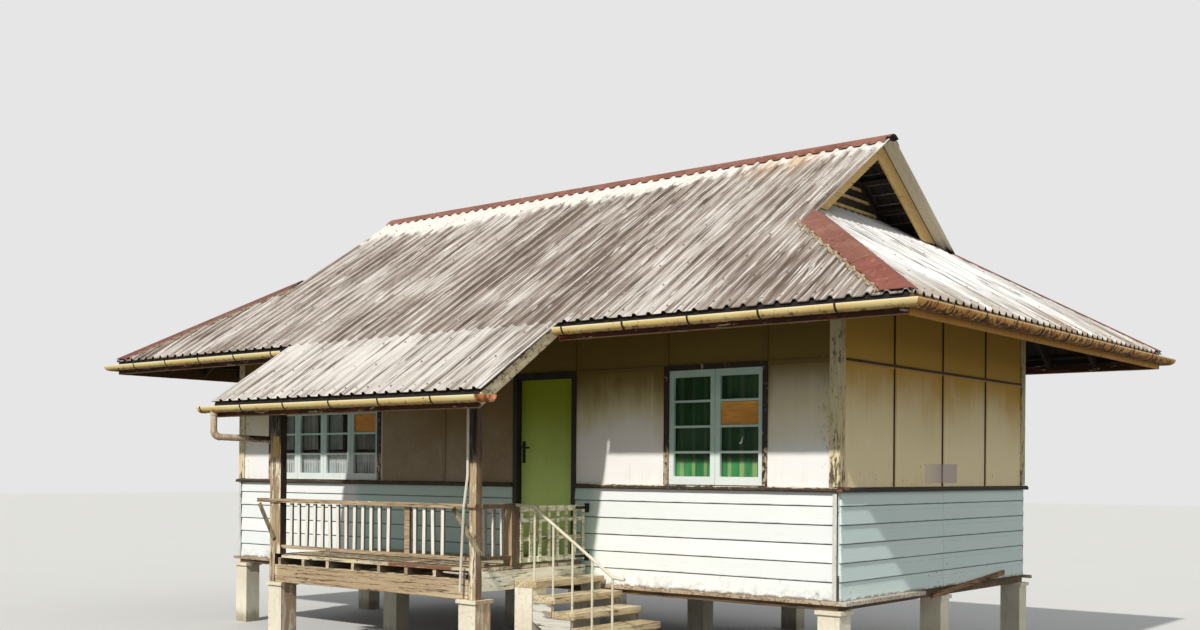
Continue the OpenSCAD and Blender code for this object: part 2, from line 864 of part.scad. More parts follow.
module door_hinges() color("dimgray") placed()
    for (z = hinge_levels) {
        translate([hinge_x, hinge_y, z])
            cylinder(h = hinge_h, r = hinge_pin_r, $fn = round_fn);
        for (lift = [0, 2 * hinge_h / 3 + 0.5])
            translate([hinge_x, hinge_y, z + lift])
                cylinder(h = hinge_h / 3 - 0.5, r = hinge_r, $fn = round_fn);
        difference() {
            block([hinge_x, wall_t, z], [door_x1 + 40, wall_t + 3, z + hinge_h]);
            block([hinge_x - 20, 0, z + hinge_h / 3 - 0.5], [door_x1 + 2 * hinge_r, far, z + 2 * hinge_h / 3 + 0.5]);
        }
    }

module door_leaf_hinges() color("dimgray") placed()
    for (z = hinge_levels)
        difference() {
            union() {
                translate([hinge_x, hinge_y, z + hinge_h / 3])
                    cylinder(h = hinge_h / 3, r = hinge_r, $fn = round_fn);
                block([hinge_x - 45, wall_t, z + hinge_h / 3], [hinge_x, wall_t + 3, z + 2 * hinge_h / 3]);
                block([hinge_x - 45, wall_t, z], [hinge_x - 2 * hinge_r, wall_t + 3, z + hinge_h]);
            }
            translate([hinge_x, hinge_y, z])
                cylinder(h = hinge_h, r = hinge_pin_r + 0.3, $fn = round_fn);
        }

// Common rafters and the short ones beside the hips, all trimmed to the roof's plan
module rafter(length) {
    block([-rafter_w / 2, 0, -batten_h - rafter_h], [rafter_w / 2, length, -batten_h]);
}

function spread(low, high, gap) =
    let (count = max(1, round((high - low) / gap)))
    [for (i = [0:count]) low + i * (high - low) / count];

slope_l = (house_d / 2 + overhang) / cos(pitch);
hip_gap = rafter_w / 2 + split;
rafter_inner = infill_x - rafter_w / 2;
rafter_outer = eave_x - fascia_setback - 4 * rafter_w;
rafter_xs = concat(spread(-rafter_inner, rafter_inner, rafter_gap),
                   spread(rafter_inner + rafter_gap, rafter_outer, rafter_gap),
                   spread(-rafter_outer, -rafter_inner - rafter_gap, rafter_gap));
rafter_foot_y = -overhang + fascia_setback + fascia_t + split;
porch_run = porch_d + porch_eave - overhang;

module common_rafters() {
    intersection() {
        on_front_slope()
            for (x = rafter_xs)
                translate([x, 0, 0])
                    rafter(slope_l);
        prism(front_plan(hip_gap, infill_x));
        block([-far / 2, rafter_foot_y, 0], [far / 2, house_d / 2 - split, 2 * ridge_z]);
    }
}

// Puts flat work on the stretch of the front slope that runs on down over the porch
module on_porch_slope() {
    translate([0, -porch_run, -porch_run * slope])
        on_front_slope()
            children();
}

// The house's own rafters run on down over the porch, and end behind its fascia
module porch_rafters() {
    intersection() {
        on_porch_slope()
            for (x = rafter_xs)
                if (x > porch_roof_x0 + fascia_t + rafter_w && x < porch_roof_x1 - fascia_t - rafter_w)
                    translate([x, 0, 0])
                        rafter(slope_l);
        block([porch_roof_x0, rafter_foot_y - porch_run, 0], [porch_roof_x1, rafter_foot_y - split, 2 * ridge_z]);
    }
}

module end_rafters() {
    low = -overhang + fascia_setback + 4 * rafter_w;
    intersection() {
        on_right_slope()
            for (y = spread(low - house_d / 2, house_d / 2 - low, rafter_gap))
                translate([y, 0, 0])
                    rafter(slope_l);
        prism(right_plan(hip_gap, hip_gap, infill_x));
        block([0, -far, 0], [eave_x - fascia_setback - fascia_t, far, 2 * ridge_z]);
    }
}

module rafters() color("tan") placed() {
    common_rafters();
    porch_rafters();
    translate([0, house_d, 0])
        mirror([0, 1, 0])
            common_rafters();
    mirrored_x()
        end_rafters();
}

// Four hip rafters, on the line where two slopes meet, their flat tops just under the battens
module hip_rafters() color("tan") placed() {
    hip_pitch = atan(slope / sqrt(2));
    fall = rafter_w / 2 * slope / sqrt(2);
    hip_top = (upright(batten_h) + fall) * cos(hip_pitch) + 0.5;
    hip_foot = roof_frame * cos(hip_pitch) - 0.5;
    back = fascia_setback + fascia_t + rafter_w;
    reach = (eave_x - infill_x) * sqrt(2) / cos(hip_pitch);
    mirrored_x()
        for (flip = [0, 1])
            translate([0, flip * house_d, 0])
                mirror([0, flip, 0])
                    intersection() {
                        translate([eave_x, -overhang, eave_z])
                            rotate([0, 0, 135])
                                rotate([0, -hip_pitch, 0])
                                    block([0, -rafter_w / 2, -hip_foot], [reach, rafter_w / 2, -hip_top]);
                        block([infill_x + split, -overhang + back, 0],
                              [eave_x - back, house_d / 2 - split, 2 * ridge_z]);
                    }
}

// Battens up one slope, the first close behind the fascia
module battens_between(x0, x1) {
    for (y = spread(fascia_setback + fascia_t + split, house_d / 2 + overhang - top_batten_gap, batten_gap))
        block([x0, y / cos(pitch), -batten_h], [x1, y / cos(pitch) + batten_w, 0]);
}

module front_battens() {
    intersection() {
        on_front_slope()
            battens_between(-eave_x, eave_x);
        prism(front_plan(split, barge_x - barge_t - split));
    }
}

module roof_battens() color("burlywood") placed() {
    front_battens();
    intersection() {
        on_porch_slope()
            battens_between(porch_roof_x0 + 10 + fascia_t + split, porch_roof_x1 - 10 - fascia_t - split);
        block([-far, -far, 0], [far, -overhang - batten_w, 2 * ridge_z]);
    }
    translate([0, house_d, 0])
        mirror([0, 1, 0])
            front_battens();
    mirrored_x()
        intersection() {
            on_right_slope()
                battens_between(-far / 4, far / 4);
            prism(right_plan(split, 160, infill_x));
        }
}

// The long sheets between the gablets, which stop short of the ridge, and the shorter ones that run
// up to the hips
module front_sheets() {
    on_front_slope()
        ribbed_sheet(-verge_x, verge_x, slope_l - ridge_gap / cos(pitch));
    for (x = [[-eave_x, -verge_x - 1], [verge_x + 1, eave_x]])
        intersection() {
            on_front_slope()
                ribbed_sheet(x[0], x[1], slope_l);
            prism(front_plan(0, verge_x));
        }
}

module roof_front() color("lightgray") placed()
    front_sheets();

module roof_rear() color("lightgray") placed()
    translate([0, house_d, 0])
        mirror([0, 1, 0])
            front_sheets();

module roof_ends() color("whitesmoke") placed()
    mirrored_x()
        intersection() {
            on_right_slope()
                ribbed_sheet(-house_d / 2 - overhang, house_d / 2 + overhang, slope_l);
            prism(right_plan(0, 110, infill_x));
        }

// The front slope carried on down over the porch
module porch_roof() color("lightgray") placed()
    on_porch_slope()
        ribbed_sheet(porch_roof_x0, porch_roof_x1, porch_run / cos(pitch) - split);

// A strip with a flat wing on the ribs of each slope and a round roll between them
module ridge_cap() color("indianred") placed() {
    roll_r = ridge_gap / sin(pitch);
    rest = ridge_z + upright(rib_h + sheet_t) + 0.5;
    edge = rest - ridge_cap_w * slope;
    middle = rest - ridge_gap * slope - roll_r * cos(pitch);
    roll = [for (i = [-8:8]) [sin(i * pitch / 8), cos(i * pitch / 8)]];
    inner = concat([[-ridge_cap_w, edge]], [for (p = roll) [0, middle] + roll_r * p], [[ridge_cap_w, edge]]);
    outer = concat([[-ridge_cap_w, edge + upright(flash_t)]],
                   [for (p = roll) [0, middle] + (roll_r + flash_t) * p],
                   [[ridge_cap_w, edge + upright(flash_t)]]);
    last = len(outer) - 1;
    translate([-verge_x - 20, house_d / 2, 0])
        rotate([90, 0, 90])
            linear_extrude(height = 2 * verge_x + 40)
                polygon(concat(inner, [for (i = [0:last]) outer[last - i]]));
}

// A folded strip over each hip, resting on the ribs of both slopes
module hip_flashings() color("indianred") placed() {
    base = rib_h + sheet_t;
    k = hip_flash_w * sqrt(2);
    hip = [[eave_x, -overhang], [verge_x, half_w - verge_x]];
    mirrored_x()
        for (flip = [0, 1])
            translate([0, flip * house_d, 0])
                mirror([0, flip, 0]) {
                    intersection() {
                        on_front_slope()
                            translate([0, 0, base])
                                cube([far, slope_l, flash_t]);
                        prism([hip[0], hip[1], hip[1] - [0, k], hip[0] - [k, 0]]);
                    }
                    intersection() {
                        on_right_slope()
                            translate([-far / 2, 0, base])
                                cube([far, slope_l, flash_t]);
                        prism([hip[0], hip[0] + [0, k * 0.6], hip[1] + [0, k * 0.6], hip[1]]);
                    }
                }
}

// Two boards meeting at the ridge in front of each gablet, their feet cut level on the end slope
module bargeboards() color("khaki") placed() {
    top = ridge_z - split;
    foot = eave_z + (eave_x - barge_x + barge_t) * slope + upright(rib_h + sheet_t) + split;
    outer = (top - foot) / slope;
    inner = (top - barge_h - foot) / slope;
    mirrored_x()
        translate([barge_x - barge_t, house_d / 2, 0])
            rotate([90, 0, 90])
                linear_extrude(height = barge_t)
                    polygon([[0, top], [outer, foot], [inner, foot], [0, top - barge_h], [-inner, foot],
                             [-outer, foot]]);
}

// The set-back triangle of each gablet: close boards, with a row of slats standing in front of them
slat_h = 32;
slat_gap = 125;
slat_out = 30;
infill_t = 25;
module gablet_infill() color("darkkhaki") placed() {
    low = eave_z + (eave_x - infill_x) * slope - upright(batten_h) - rafter_h / 2;
    top = ridge_z - roof_frame - split;
    edge = (top - low) / slope;
    sheet_top = eave_z + (eave_x - infill_x) * slope + upright(sheet_t + rib_h) + split;
    mirrored_x()
        translate([infill_x - split - infill_t, house_d / 2, 0])
            rotate([90, 0, 90]) {
                linear_extrude(height = infill_t)
                    polygon([[-edge, low], [edge, low], [0, top]]);
                translate([0, 0, infill_t])
                    linear_extrude(height = slat_out)
                        intersection() {
                            polygon([[-edge, low], [edge, low], [0, top]]);
                            for (z = [sheet_top:slat_gap:top])
                                translate([-edge, z])
                                    square([2 * edge, slat_h]);
                        }
            }
}

// A fascia board along an eave that faces -Y, with mitred or square ends
module fascia(x0, x1) {
    y = -overhang + fascia_setback;
    top = eave_z + fascia_setback * slope - split;
    block([x0, y, top - fascia_h], [x1, y + fascia_t, top]);
}

// A board down the side of the porch roof, from the house's fascia to the back of the porch gutter
module rake_board() {
    foot_y = porch_front + fascia_setback;
    head_y = -overhang + fascia_setback - split;
    low = roof_z(foot_y) - split - rake_sag;
    high = roof_z(head_y) - 2 * split;
    rotate([90, 0, 90])
        linear_extrude(height = fascia_t)
            polygon([[foot_y, low], [head_y, high], [head_y, high - rake_h], [foot_y, low - rake_h]]);
}

module fascias() color("saddlebrown") placed() {
    edge = eave_x - fascia_setback;
    fascia(-edge, porch_roof_x0 - split);
    fascia(porch_roof_x1 + split, edge);
    translate([0, house_d, 0])
        mirror([0, 1, 0])
            fascia(-edge, edge);
    mirrored_x()
        translate([edge, 0, eave_z + fascia_setback * slope - split - fascia_h])
            block([-fascia_t, -overhang + fascia_setback + fascia_t + split, 0],
                  [0, house_d + overhang - fascia_setback - fascia_t - split, fascia_h]);
    // Porch eave and the two rake boards that close the sides of the porch roof
    translate([0, -porch_run, -porch_run * slope])
        fascia(porch_roof_x0 + fascia_t + 10 + split, porch_roof_x1 - fascia_t - 10 - split);
    for (x = [porch_roof_x0 + 10, porch_roof_x1 - fascia_t - 10])
        translate([x, 0, 0])
            rake_board();
}

// A half-round trough along an eave that faces -Y
module gutter(x0, x1) {
    y = -overhang + fascia_setback - gutter_r;
    translate([x0, y, eave_z - gutter_drop])
        rotate([90, 0, 90])
            linear_extrude(height = x1 - x0)
                difference() {
                    circle(r = gutter_r, $fn = round_fn);
                    circle(r = gutter_r - gutter_t, $fn = round_fn);
                    translate([-2 * gutter_r, 0])
                        square(4 * gutter_r);
                }
}

// Gutters mitred at the four corners and broken off where the porch roof runs through
module gutters() color("khaki") placed() {
    gx = eave_x + gutter_out;
    gy = overhang + gutter_out;
    reach = 4 * gutter_r;
    band = [[-gx + split, -gy], [gx - split, -gy], [gx - reach - split, -gy + reach],
            [reach + split - gx, -gy + reach]];
    intersection() {
        union() {
            gutter(-gx, porch_roof_x0 - 30);
            gutter(porch_roof_x1 + 20, gx);
        }
        prism(band);
    }
    translate([0, house_d, 0])
        mirror([0, 1, 0])
            intersection() {
                gutter(-gx, gx);
                prism(band);
            }
    mirrored_x()
        intersection() {
            translate([half_w, 0, 0])
                rotate([0, 0, 90])
                    gutter(-gy, house_d + gy);
            prism([[gx, -gy], [gx, house_d + gy], [gx - reach, house_d + gy - reach],
                   [gx - reach, reach - gy]]);
        }
    translate([0, -porch_run, -porch_run * slope])
        gutter(porch_roof_x0 - porch_gutter_left, porch_roof_x1 + porch_gutter_right);
}

// Half rings round the gutters, from the rim to the fascia
strap_t = 3;
strap_fit = 0.3;
module gutter_strap(x) {
    inner = gutter_r + strap_fit;
    translate([x - strap_w / 2, -overhang + fascia_setback - gutter_r, eave_z - gutter_drop])
        rotate([90, 0, 90])
            linear_extrude(height = strap_w)
                difference() {
                    circle(r = inner + strap_t, $fn = round_fn);
                    circle(r = inner, $fn = round_fn);
                    translate([-2 * gutter_r, 0])
                        square(4 * gutter_r);
                    translate([gutter_r, -2 * gutter_r])
                        square(4 * gutter_r);
                }
}

// Places from one point towards another, one strap's distance apart
function strap_places(from, to) =
    [for (i = [0:floor(abs(to - from) / strap_gap)]) from + sign(to - from) * i * strap_gap];

module gutter_straps() color("dimgray") placed() {
    corner_x = eave_x + gutter_out - strap_gap;
    corner_y = overhang + gutter_out - strap_gap;
    for (x = concat(strap_places(corner_x, porch_roof_x1 + 4 * strap_w),
                    strap_places(-corner_x, porch_roof_x0 - 4 * strap_w)))
        gutter_strap(x);
    translate([0, house_d, 0])
        mirror([0, 1, 0])
            for (x = strap_places(corner_x, -corner_x))
                gutter_strap(x);
    mirrored_x()
        translate([half_w, 0, 0])
            rotate([0, 0, 90])
                for (y = strap_places(-corner_y, house_d + corner_y))
                    gutter_strap(y);
    translate([0, -porch_run, -porch_run * slope])
        for (x = strap_places(porch_roof_x0 - porch_gutter_left + 3 * strap_w, porch_roof_x1))
            gutter_strap(x);
}

// Front beam between the posts on its piers, and the plate that the posts carry under the rafters
plate_h = 100;
plate_z = roof_z(-porch_d) - roof_frame - split - plate_h;
module porch_beams() color("rosybrown") placed() {
    block([porch_x0 + post_side, -porch_d, porch_beam_z],
          [porch_x1 - post_side, -porch_d + porch_beam_t, porch_beam_z + porch_beam_h]);
    block([porch_x0, -porch_d, plate_z], [porch_x1, -porch_d + post_side, plate_z + plate_h]);
}

module porch_joists() color("rosybrown") placed() {
    for (x = spread(porch_x0 + post_side + 60, porch_x1 - post_side - 90, porch_joist_gap))
        block([x, -porch_d, deck_z - porch_joist_h], [x + 50, -lap_foot - split, deck_z]);
    for (x = [porch_x0, porch_x1 - 40])
        block([x, -porch_d + 100, siding_z], [x + 40, -lap_foot - split, deck_z]);
}

module post_shafts(gap) {
    block([porch_x1 - post_side - gap, -porch_d - gap, porch_beam_z],
          [porch_x1 + gap, -porch_d + post_side + gap, plate_z]);
    block([porch_x0 - gap, -porch_d - gap, porch_beam_z],
          [porch_x0 + 2 * post_side + gap, -porch_d + post_side + gap, plate_z]);
}

module porch_posts() color("wheat") placed() difference() {
    post_shafts(0);
    block([porch_x0 + post_side, -far, 0], [porch_x0 + 3 * post_side, 0, floor_z]);
}

// Boards laid along the front, notched round the posts
module porch_deck() color("wheat") placed() difference() {
    step = deck_board_w + deck_board_gap;
    for (y = [-porch_d:step:-lap_foot - deck_board_w / 2])
        block([porch_x0, y, deck_z], [porch_x1, min(y + deck_board_w, -lap_foot - split), floor_z]);
    post_shafts(split);
}

module porch_rails() color("wheat") placed() {
    top = rail_z - rail_t;
    back = -porch_d + post_side;
    low = floor_z + low_rail_h;
    // Front handrail, notched round the posts and running on past the left one, and its bottom rail
    difference() {
        block([porch_x0 - rail_tail, -porch_d - rail_out, top], [porch_x1 + 10, -porch_d + 50, rail_z]);
        post_shafts(0);
    }
    block([porch_x0 + 2 * post_side, -porch_d + 10, low],
          [porch_x1 - post_side, -porch_d + 70, low + low_rail_t]);
    // Side rails from the right post to the newel
    block([porch_x1 - 60, back, top], [porch_x1, newel_y, rail_z]);
    block([porch_x1 - 60, back, low], [porch_x1 - 10, newel_y, low + low_rail_t]);
    // Newel at the head of the steps, and a bare post among the balusters
    block([porch_x1 - newel_side, newel_y, floor_z], [porch_x1, newel_y + newel_side, rail_z]);
    x = porch_x1 - mid_post_from_right - mid_post_w;
    block([x, -porch_d + 10, low + low_rail_t], [x + mid_post_w, -porch_d + 50, top]);
}

// One baluster is gone, and the bare post stands in place of the next
module porch_balusters() color("azure") placed() {
    foot = floor_z + low_rail_h + low_rail_t;
    top = rail_z - rail_t;
    first = porch_x0 + first_baluster;
    last = porch_x1 - post_side - 2 * baluster_gap;
    bare = porch_x1 - mid_post_from_right - mid_post_w / 2;
    for (x = [first:baluster_gap:last])
        if (x < bare - 1.5 * baluster_gap || x > bare + baluster_gap / 2)
            block([x - baluster_w / 2, -porch_d + 12, foot], [x + baluster_w / 2, -porch_d + 12 + baluster_t, top]);
    for (y = [-porch_d + post_side + 60:baluster_gap:newel_y - baluster_w])
        block([porch_x1 - 50, y, foot], [porch_x1 - 50 + baluster_t, y + baluster_w, top]);
}

// Treads are planks that lie on both strings and run on to their outer faces
module stair_treads() color("wheat") placed() {
    for (i = [0:treads - 1])
        block([porch_x1 + i * going + split, stair_y0, tread_z(i) - tread_t],
              [porch_x1 + i * going + tread_d, stair_y1, tread_z(i)]);
}

// A string notched under its treads, from a given tread down to the ground
module stair_string(first) {
    notches = [for (i = [first:treads - 1], x = [i, i + 1]) [x * going, tread_z(i) - tread_t]];
    // Height of the lower edge at a distance from the porch
    function under(x) = riser * (treads - x / going) - tread_t - string_h;
    heel = going * (treads - (tread_t + string_h) / riser);
    linear_extrude(height = string_t)
        polygon(concat(notches, [[treads * going, 0], [heel, 0], [first * going, under(first * going)]]));
}

module stair_strings() color("white") placed() {
    translate([porch_x1, stair_y0 + string_t, 0])
        rotate([90, 0, 0])
            stair_string(1);
    translate([porch_x1 + split, stair_y1, 0])
        rotate([90, 0, 0])
            stair_string(0);
}

// Pipe rail on uprights that stand on the outer ends of the treads
module stair_handrail() color("ivory") placed() {
    y = stair_y0 + 25;
    start = [porch_x1 + split, y, rail_z - pipe_r];
    bend = [porch_x1 + handrail_level, y, rail_z - 2 * pipe_r];
    slope_end = bend + [handrail_run, 0, -handrail_fall];
    tail = slope_end + [handrail_foot, 0, -handrail_foot / 11];
    pipe([start, bend, slope_end, tail], pipe_r, pipe_bend);
    for (i = [0:4]) {
        x = porch_x1 + (i + 1) * going + 3;
        along = (x - bend.x) / (slope_end.x - bend.x);
        bar([x, y, tread_z(i)], [x, y, bend.z + along * (slope_end.z - bend.z)], pipe_r * 0.75);
    }
}

// A slatted gate across the head of the steps, hung beside the wall. It opens out over the steps
// and then lies along the wall.
gate_y0 = newel_y + newel_side + gate_gap;
gate_y1 = -60;
gate_z0 = floor_z + gate_lift;
gate_z1 = gate_z0 + gate_h;
gate_x0 = porch_x1 - 40;
gate_x1 = gate_x0 + gate_rail_t + gate_slat_t;
gate_rail_z = [[gate_z0, 62], [gate_z0 + 224, 44], [gate_z0 + 422, 44], [gate_z1 - 62, 62]];
gate_pin_r = 6;
gate_eye_r = 12;
gate_pin = [gate_x1 + gate_eye_r - 4, gate_y1 + gate_eye_r - 2];
gate_strap_z = [gate_z0 + 16, gate_z1 - 46];
gate_strap_h = 30;

module gate() color("tan") placed() {
    for (z = gate_rail_z)
        block([gate_x0, gate_y0, z[0]], [gate_x0 + gate_rail_t, gate_y1, z[0] + z[1]]);
    for (y = spread(gate_y0, gate_y1 - gate_slat_w, gate_slat_gap))
        block([gate_x0 + gate_rail_t, y, gate_z0], [gate_x1, y + gate_slat_w, gate_z1]);
}

// Two straps on the gate's outer face, each ending in an eye
module gate_straps() color("black") placed()
    for (z = gate_strap_z)
        difference() {
            union() {
                block([gate_x1, gate_y1 - 170, z], [gate_x1 + 4, gate_pin.y, z + gate_strap_h]);
                translate([gate_pin.x, gate_pin.y, z])
                    cylinder(h = gate_strap_h, r = gate_eye_r, $fn = round_fn);
            }
            translate([gate_pin.x, gate_pin.y, z - 1])
                cylinder(h = gate_strap_h + 2, r = gate_pin_r + 0.5, $fn = round_fn);
        }

// Pins that the eyes turn on, each on a bracket scribed to the lapped boards
module gate_pins() color("black") placed()
    for (z = gate_strap_z) {
        translate([gate_pin.x, gate_pin.y, z - 10])
            cylinder(h = gate_strap_h + 16, r = gate_pin_r, $fn = round_fn);
        difference() {
            union() {
                block([gate_pin.x - 7, gate_pin.y - 6, z - 10], [gate_pin.x + 12, 0, z - 1]);
                block([gate_pin.x - 40, -lap_foot - 6, z - 40], [gate_pin.x + 20, 0, z + gate_strap_h + 30]);
            }
            lap_boards(gate_pin.x - 100, gate_pin.x + 100);
        }
    }

// A thin pipe down the face of the right post and over the rail, and at the left end of the porch
// gutter a broken one, which turns back under the roof to the left post
module downpipes() color("white") placed() {
    stand = downpipe_r + fitting_t + split;
    on_post = -porch_d - stand;
    on_rail = -porch_d - rail_out - strut_t - stand;
    pipe([[porch_x1 - 99, on_post, plate_z], [porch_x1 - 99, on_post, rail_z + 287],
          [porch_x1 - 108, on_rail, rail_z - 34], [porch_x1 - 154, on_rail, porch_beam_z + 80]],
         downpipe_r, pipe_bend);
    gutter_y = porch_front + fascia_setback - gutter_r;
    gutter_z = roof_z(porch_front) - gutter_drop;
    outlet = [porch_roof_x0 + 121, gutter_y, gutter_z];
    turn = outlet - [0, 0, gutter_r + 273];
    difference() {
        union() {
            pipe([outlet, turn, [porch_x0 - broken_pipe_r - fitting_t - split, -porch_d + 60, turn.z - 23]],
                 broken_pipe_r, 2 * broken_pipe_r);
            translate(outlet - [0, 0, gutter_r + 30])
                cylinder(h = gutter_r, r = broken_pipe_r + 2 * fitting_t, $fn = round_fn);
        }
        bar([porch_roof_x0 - far, gutter_y, gutter_z], [porch_roof_x1, gutter_y, gutter_z], gutter_r);
    }
}

// Struts nailed across the porch posts, and a plank that has come down along the foot of the right
// end wall
// The first is nailed to the left post under the rail's tail, the second to the face of the rail.
module loose_boards() color("rosybrown") placed() {
    left = [porch_x0 - rail_tail + 45, rail_z - rail_t - 16];
    right = [porch_x1 - newel_side - 160, rail_z - rail_t];
    for (strut = [[left, [left_strut_run, -left_strut_fall], -porch_d],
                  [right, [right_strut_run, -right_strut_fall], -porch_d - rail_out]]) {
        along = strut[1];
        translate([strut[0].x, strut[2], strut[0].y])
            rotate([0, atan2(-along.y, along.x), 0])
                block([0, -strut_t, -strut_w / 2], [norm(along), 0, strut_w / 2]);
    }
    translate([half_w + lap_foot, 0, 0])
        rotate([90, 0, 90])
            linear_extrude(height = fascia_t)
                polygon([[plank_from_front, siding_z - 101], [plank_from_front + plank_l, siding_z + 32],
                         [plank_from_front + plank_l, siding_z + 92], [plank_from_front + 130, siding_z - 45]]);
}

house_piers();
porch_piers();
bearers();
foot_boards();
floor_joists();
floor_slab();  // floor
front_wall_left();
front_wall_over_door();
front_wall_right();
rear_wall();
left_end_wall();
right_end_wall();
lap_siding();
sill_belt();
corner_boards();
panel_battens();
window_frames();
window_sashes();
window_glass();
door_frame();
door_leaf();
door_handle();
door_hinges();
door_leaf_hinges();
rafters();
hip_rafters();
roof_battens();
roof_front();
roof_rear();
roof_ends();
porch_roof();
ridge_cap();
hip_flashings();
bargeboards();
gablet_infill();
fascias();
gutters();
gutter_straps();
porch_beams();
porch_joists();
porch_deck();
porch_posts();
porch_rails();
porch_balusters();
stair_strings();
stair_treads();
stair_handrail();
gate();
gate_straps();
gate_pins();
downpipes();
loose_boards();
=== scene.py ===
# %% [markdown]
# A timber house on concrete piers
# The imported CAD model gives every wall, board and sheet its true place and size. What it lacks is
# sixty years of sun, rain and repainting. This script keeps the solids as they are, swaps the
# pieces whose worn edges can be seen for meshes of the same size, adds the small things that are
# too fine for solids, and gives every surface a finish worked out from its place on the building.

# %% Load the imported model
import json
import math
import random

import bmesh
import bpy
from mathutils import Matrix, Vector, noise

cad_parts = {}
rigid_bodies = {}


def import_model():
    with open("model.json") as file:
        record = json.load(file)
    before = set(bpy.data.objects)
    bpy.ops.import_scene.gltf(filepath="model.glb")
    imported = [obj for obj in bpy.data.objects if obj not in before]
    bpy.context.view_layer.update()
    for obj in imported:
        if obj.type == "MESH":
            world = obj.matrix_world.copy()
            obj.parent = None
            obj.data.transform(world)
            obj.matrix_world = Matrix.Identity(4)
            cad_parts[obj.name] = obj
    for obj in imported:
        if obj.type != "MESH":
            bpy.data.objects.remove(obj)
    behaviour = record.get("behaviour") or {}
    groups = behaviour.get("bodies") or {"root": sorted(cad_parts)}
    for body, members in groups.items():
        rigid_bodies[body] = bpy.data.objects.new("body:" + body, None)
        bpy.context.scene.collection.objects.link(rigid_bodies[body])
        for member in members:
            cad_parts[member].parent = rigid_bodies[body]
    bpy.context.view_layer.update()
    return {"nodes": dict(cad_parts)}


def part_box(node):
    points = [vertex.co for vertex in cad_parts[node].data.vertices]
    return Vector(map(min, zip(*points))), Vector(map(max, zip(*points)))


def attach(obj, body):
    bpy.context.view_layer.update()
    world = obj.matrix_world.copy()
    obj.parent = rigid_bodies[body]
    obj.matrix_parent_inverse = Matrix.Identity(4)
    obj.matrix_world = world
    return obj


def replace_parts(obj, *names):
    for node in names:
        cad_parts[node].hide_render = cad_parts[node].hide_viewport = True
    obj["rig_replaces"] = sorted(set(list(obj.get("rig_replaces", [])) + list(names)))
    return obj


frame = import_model()
nodes = frame["nodes"]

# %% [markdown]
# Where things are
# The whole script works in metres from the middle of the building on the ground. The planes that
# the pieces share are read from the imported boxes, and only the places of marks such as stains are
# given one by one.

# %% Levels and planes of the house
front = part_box("front_wall_left")[0].y
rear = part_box("rear_wall")[1].y
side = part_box("front_wall_right")[1].x
floor_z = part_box("floor")[1].z
sill_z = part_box("sill_belt")[1].z
siding_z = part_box("lap_siding")[0].z
slope = math.tan(math.radians(32))
eave_y, eave_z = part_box("roof_front")[0].y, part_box("roof_front")[0].z
eave_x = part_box("roof_ends")[1].x
verge_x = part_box("ridge_cap")[1].x - 0.02
middle_y = (front + rear) / 2
half_depth = middle_y - eave_y
tilt = math.atan(slope)
rib_gap = 0.17
print("front, rear, side, eave", [round(v, 3) for v in (front, rear, side, eave_z)])

# %% [markdown]
# Writing shader maths as plain expressions
# A finish is a sum of masks: where rain runs, where paint has gone, where a board ends. Drawn as
# boxes and cables such a sum is hard to read, so one small class wraps a socket and lets Python's
# own operators add the nodes. Numbers go through Math nodes, places through Vector Math, and
# colours through Mix, because a Math node would turn a colour grey. Most recipes lay one coat of
# colour after another over a first one, as weather does.

# %% The signal
def linear(r, g, b):
    """A colour picked on a 0 to 255 scale, as the shader wants it."""
    def one(v):
        v /= 255
        return v / 12.92 if v <= 0.04045 else ((v + 0.055) / 1.055) ** 2.4
    return (one(r), one(g), one(b), 1.0)


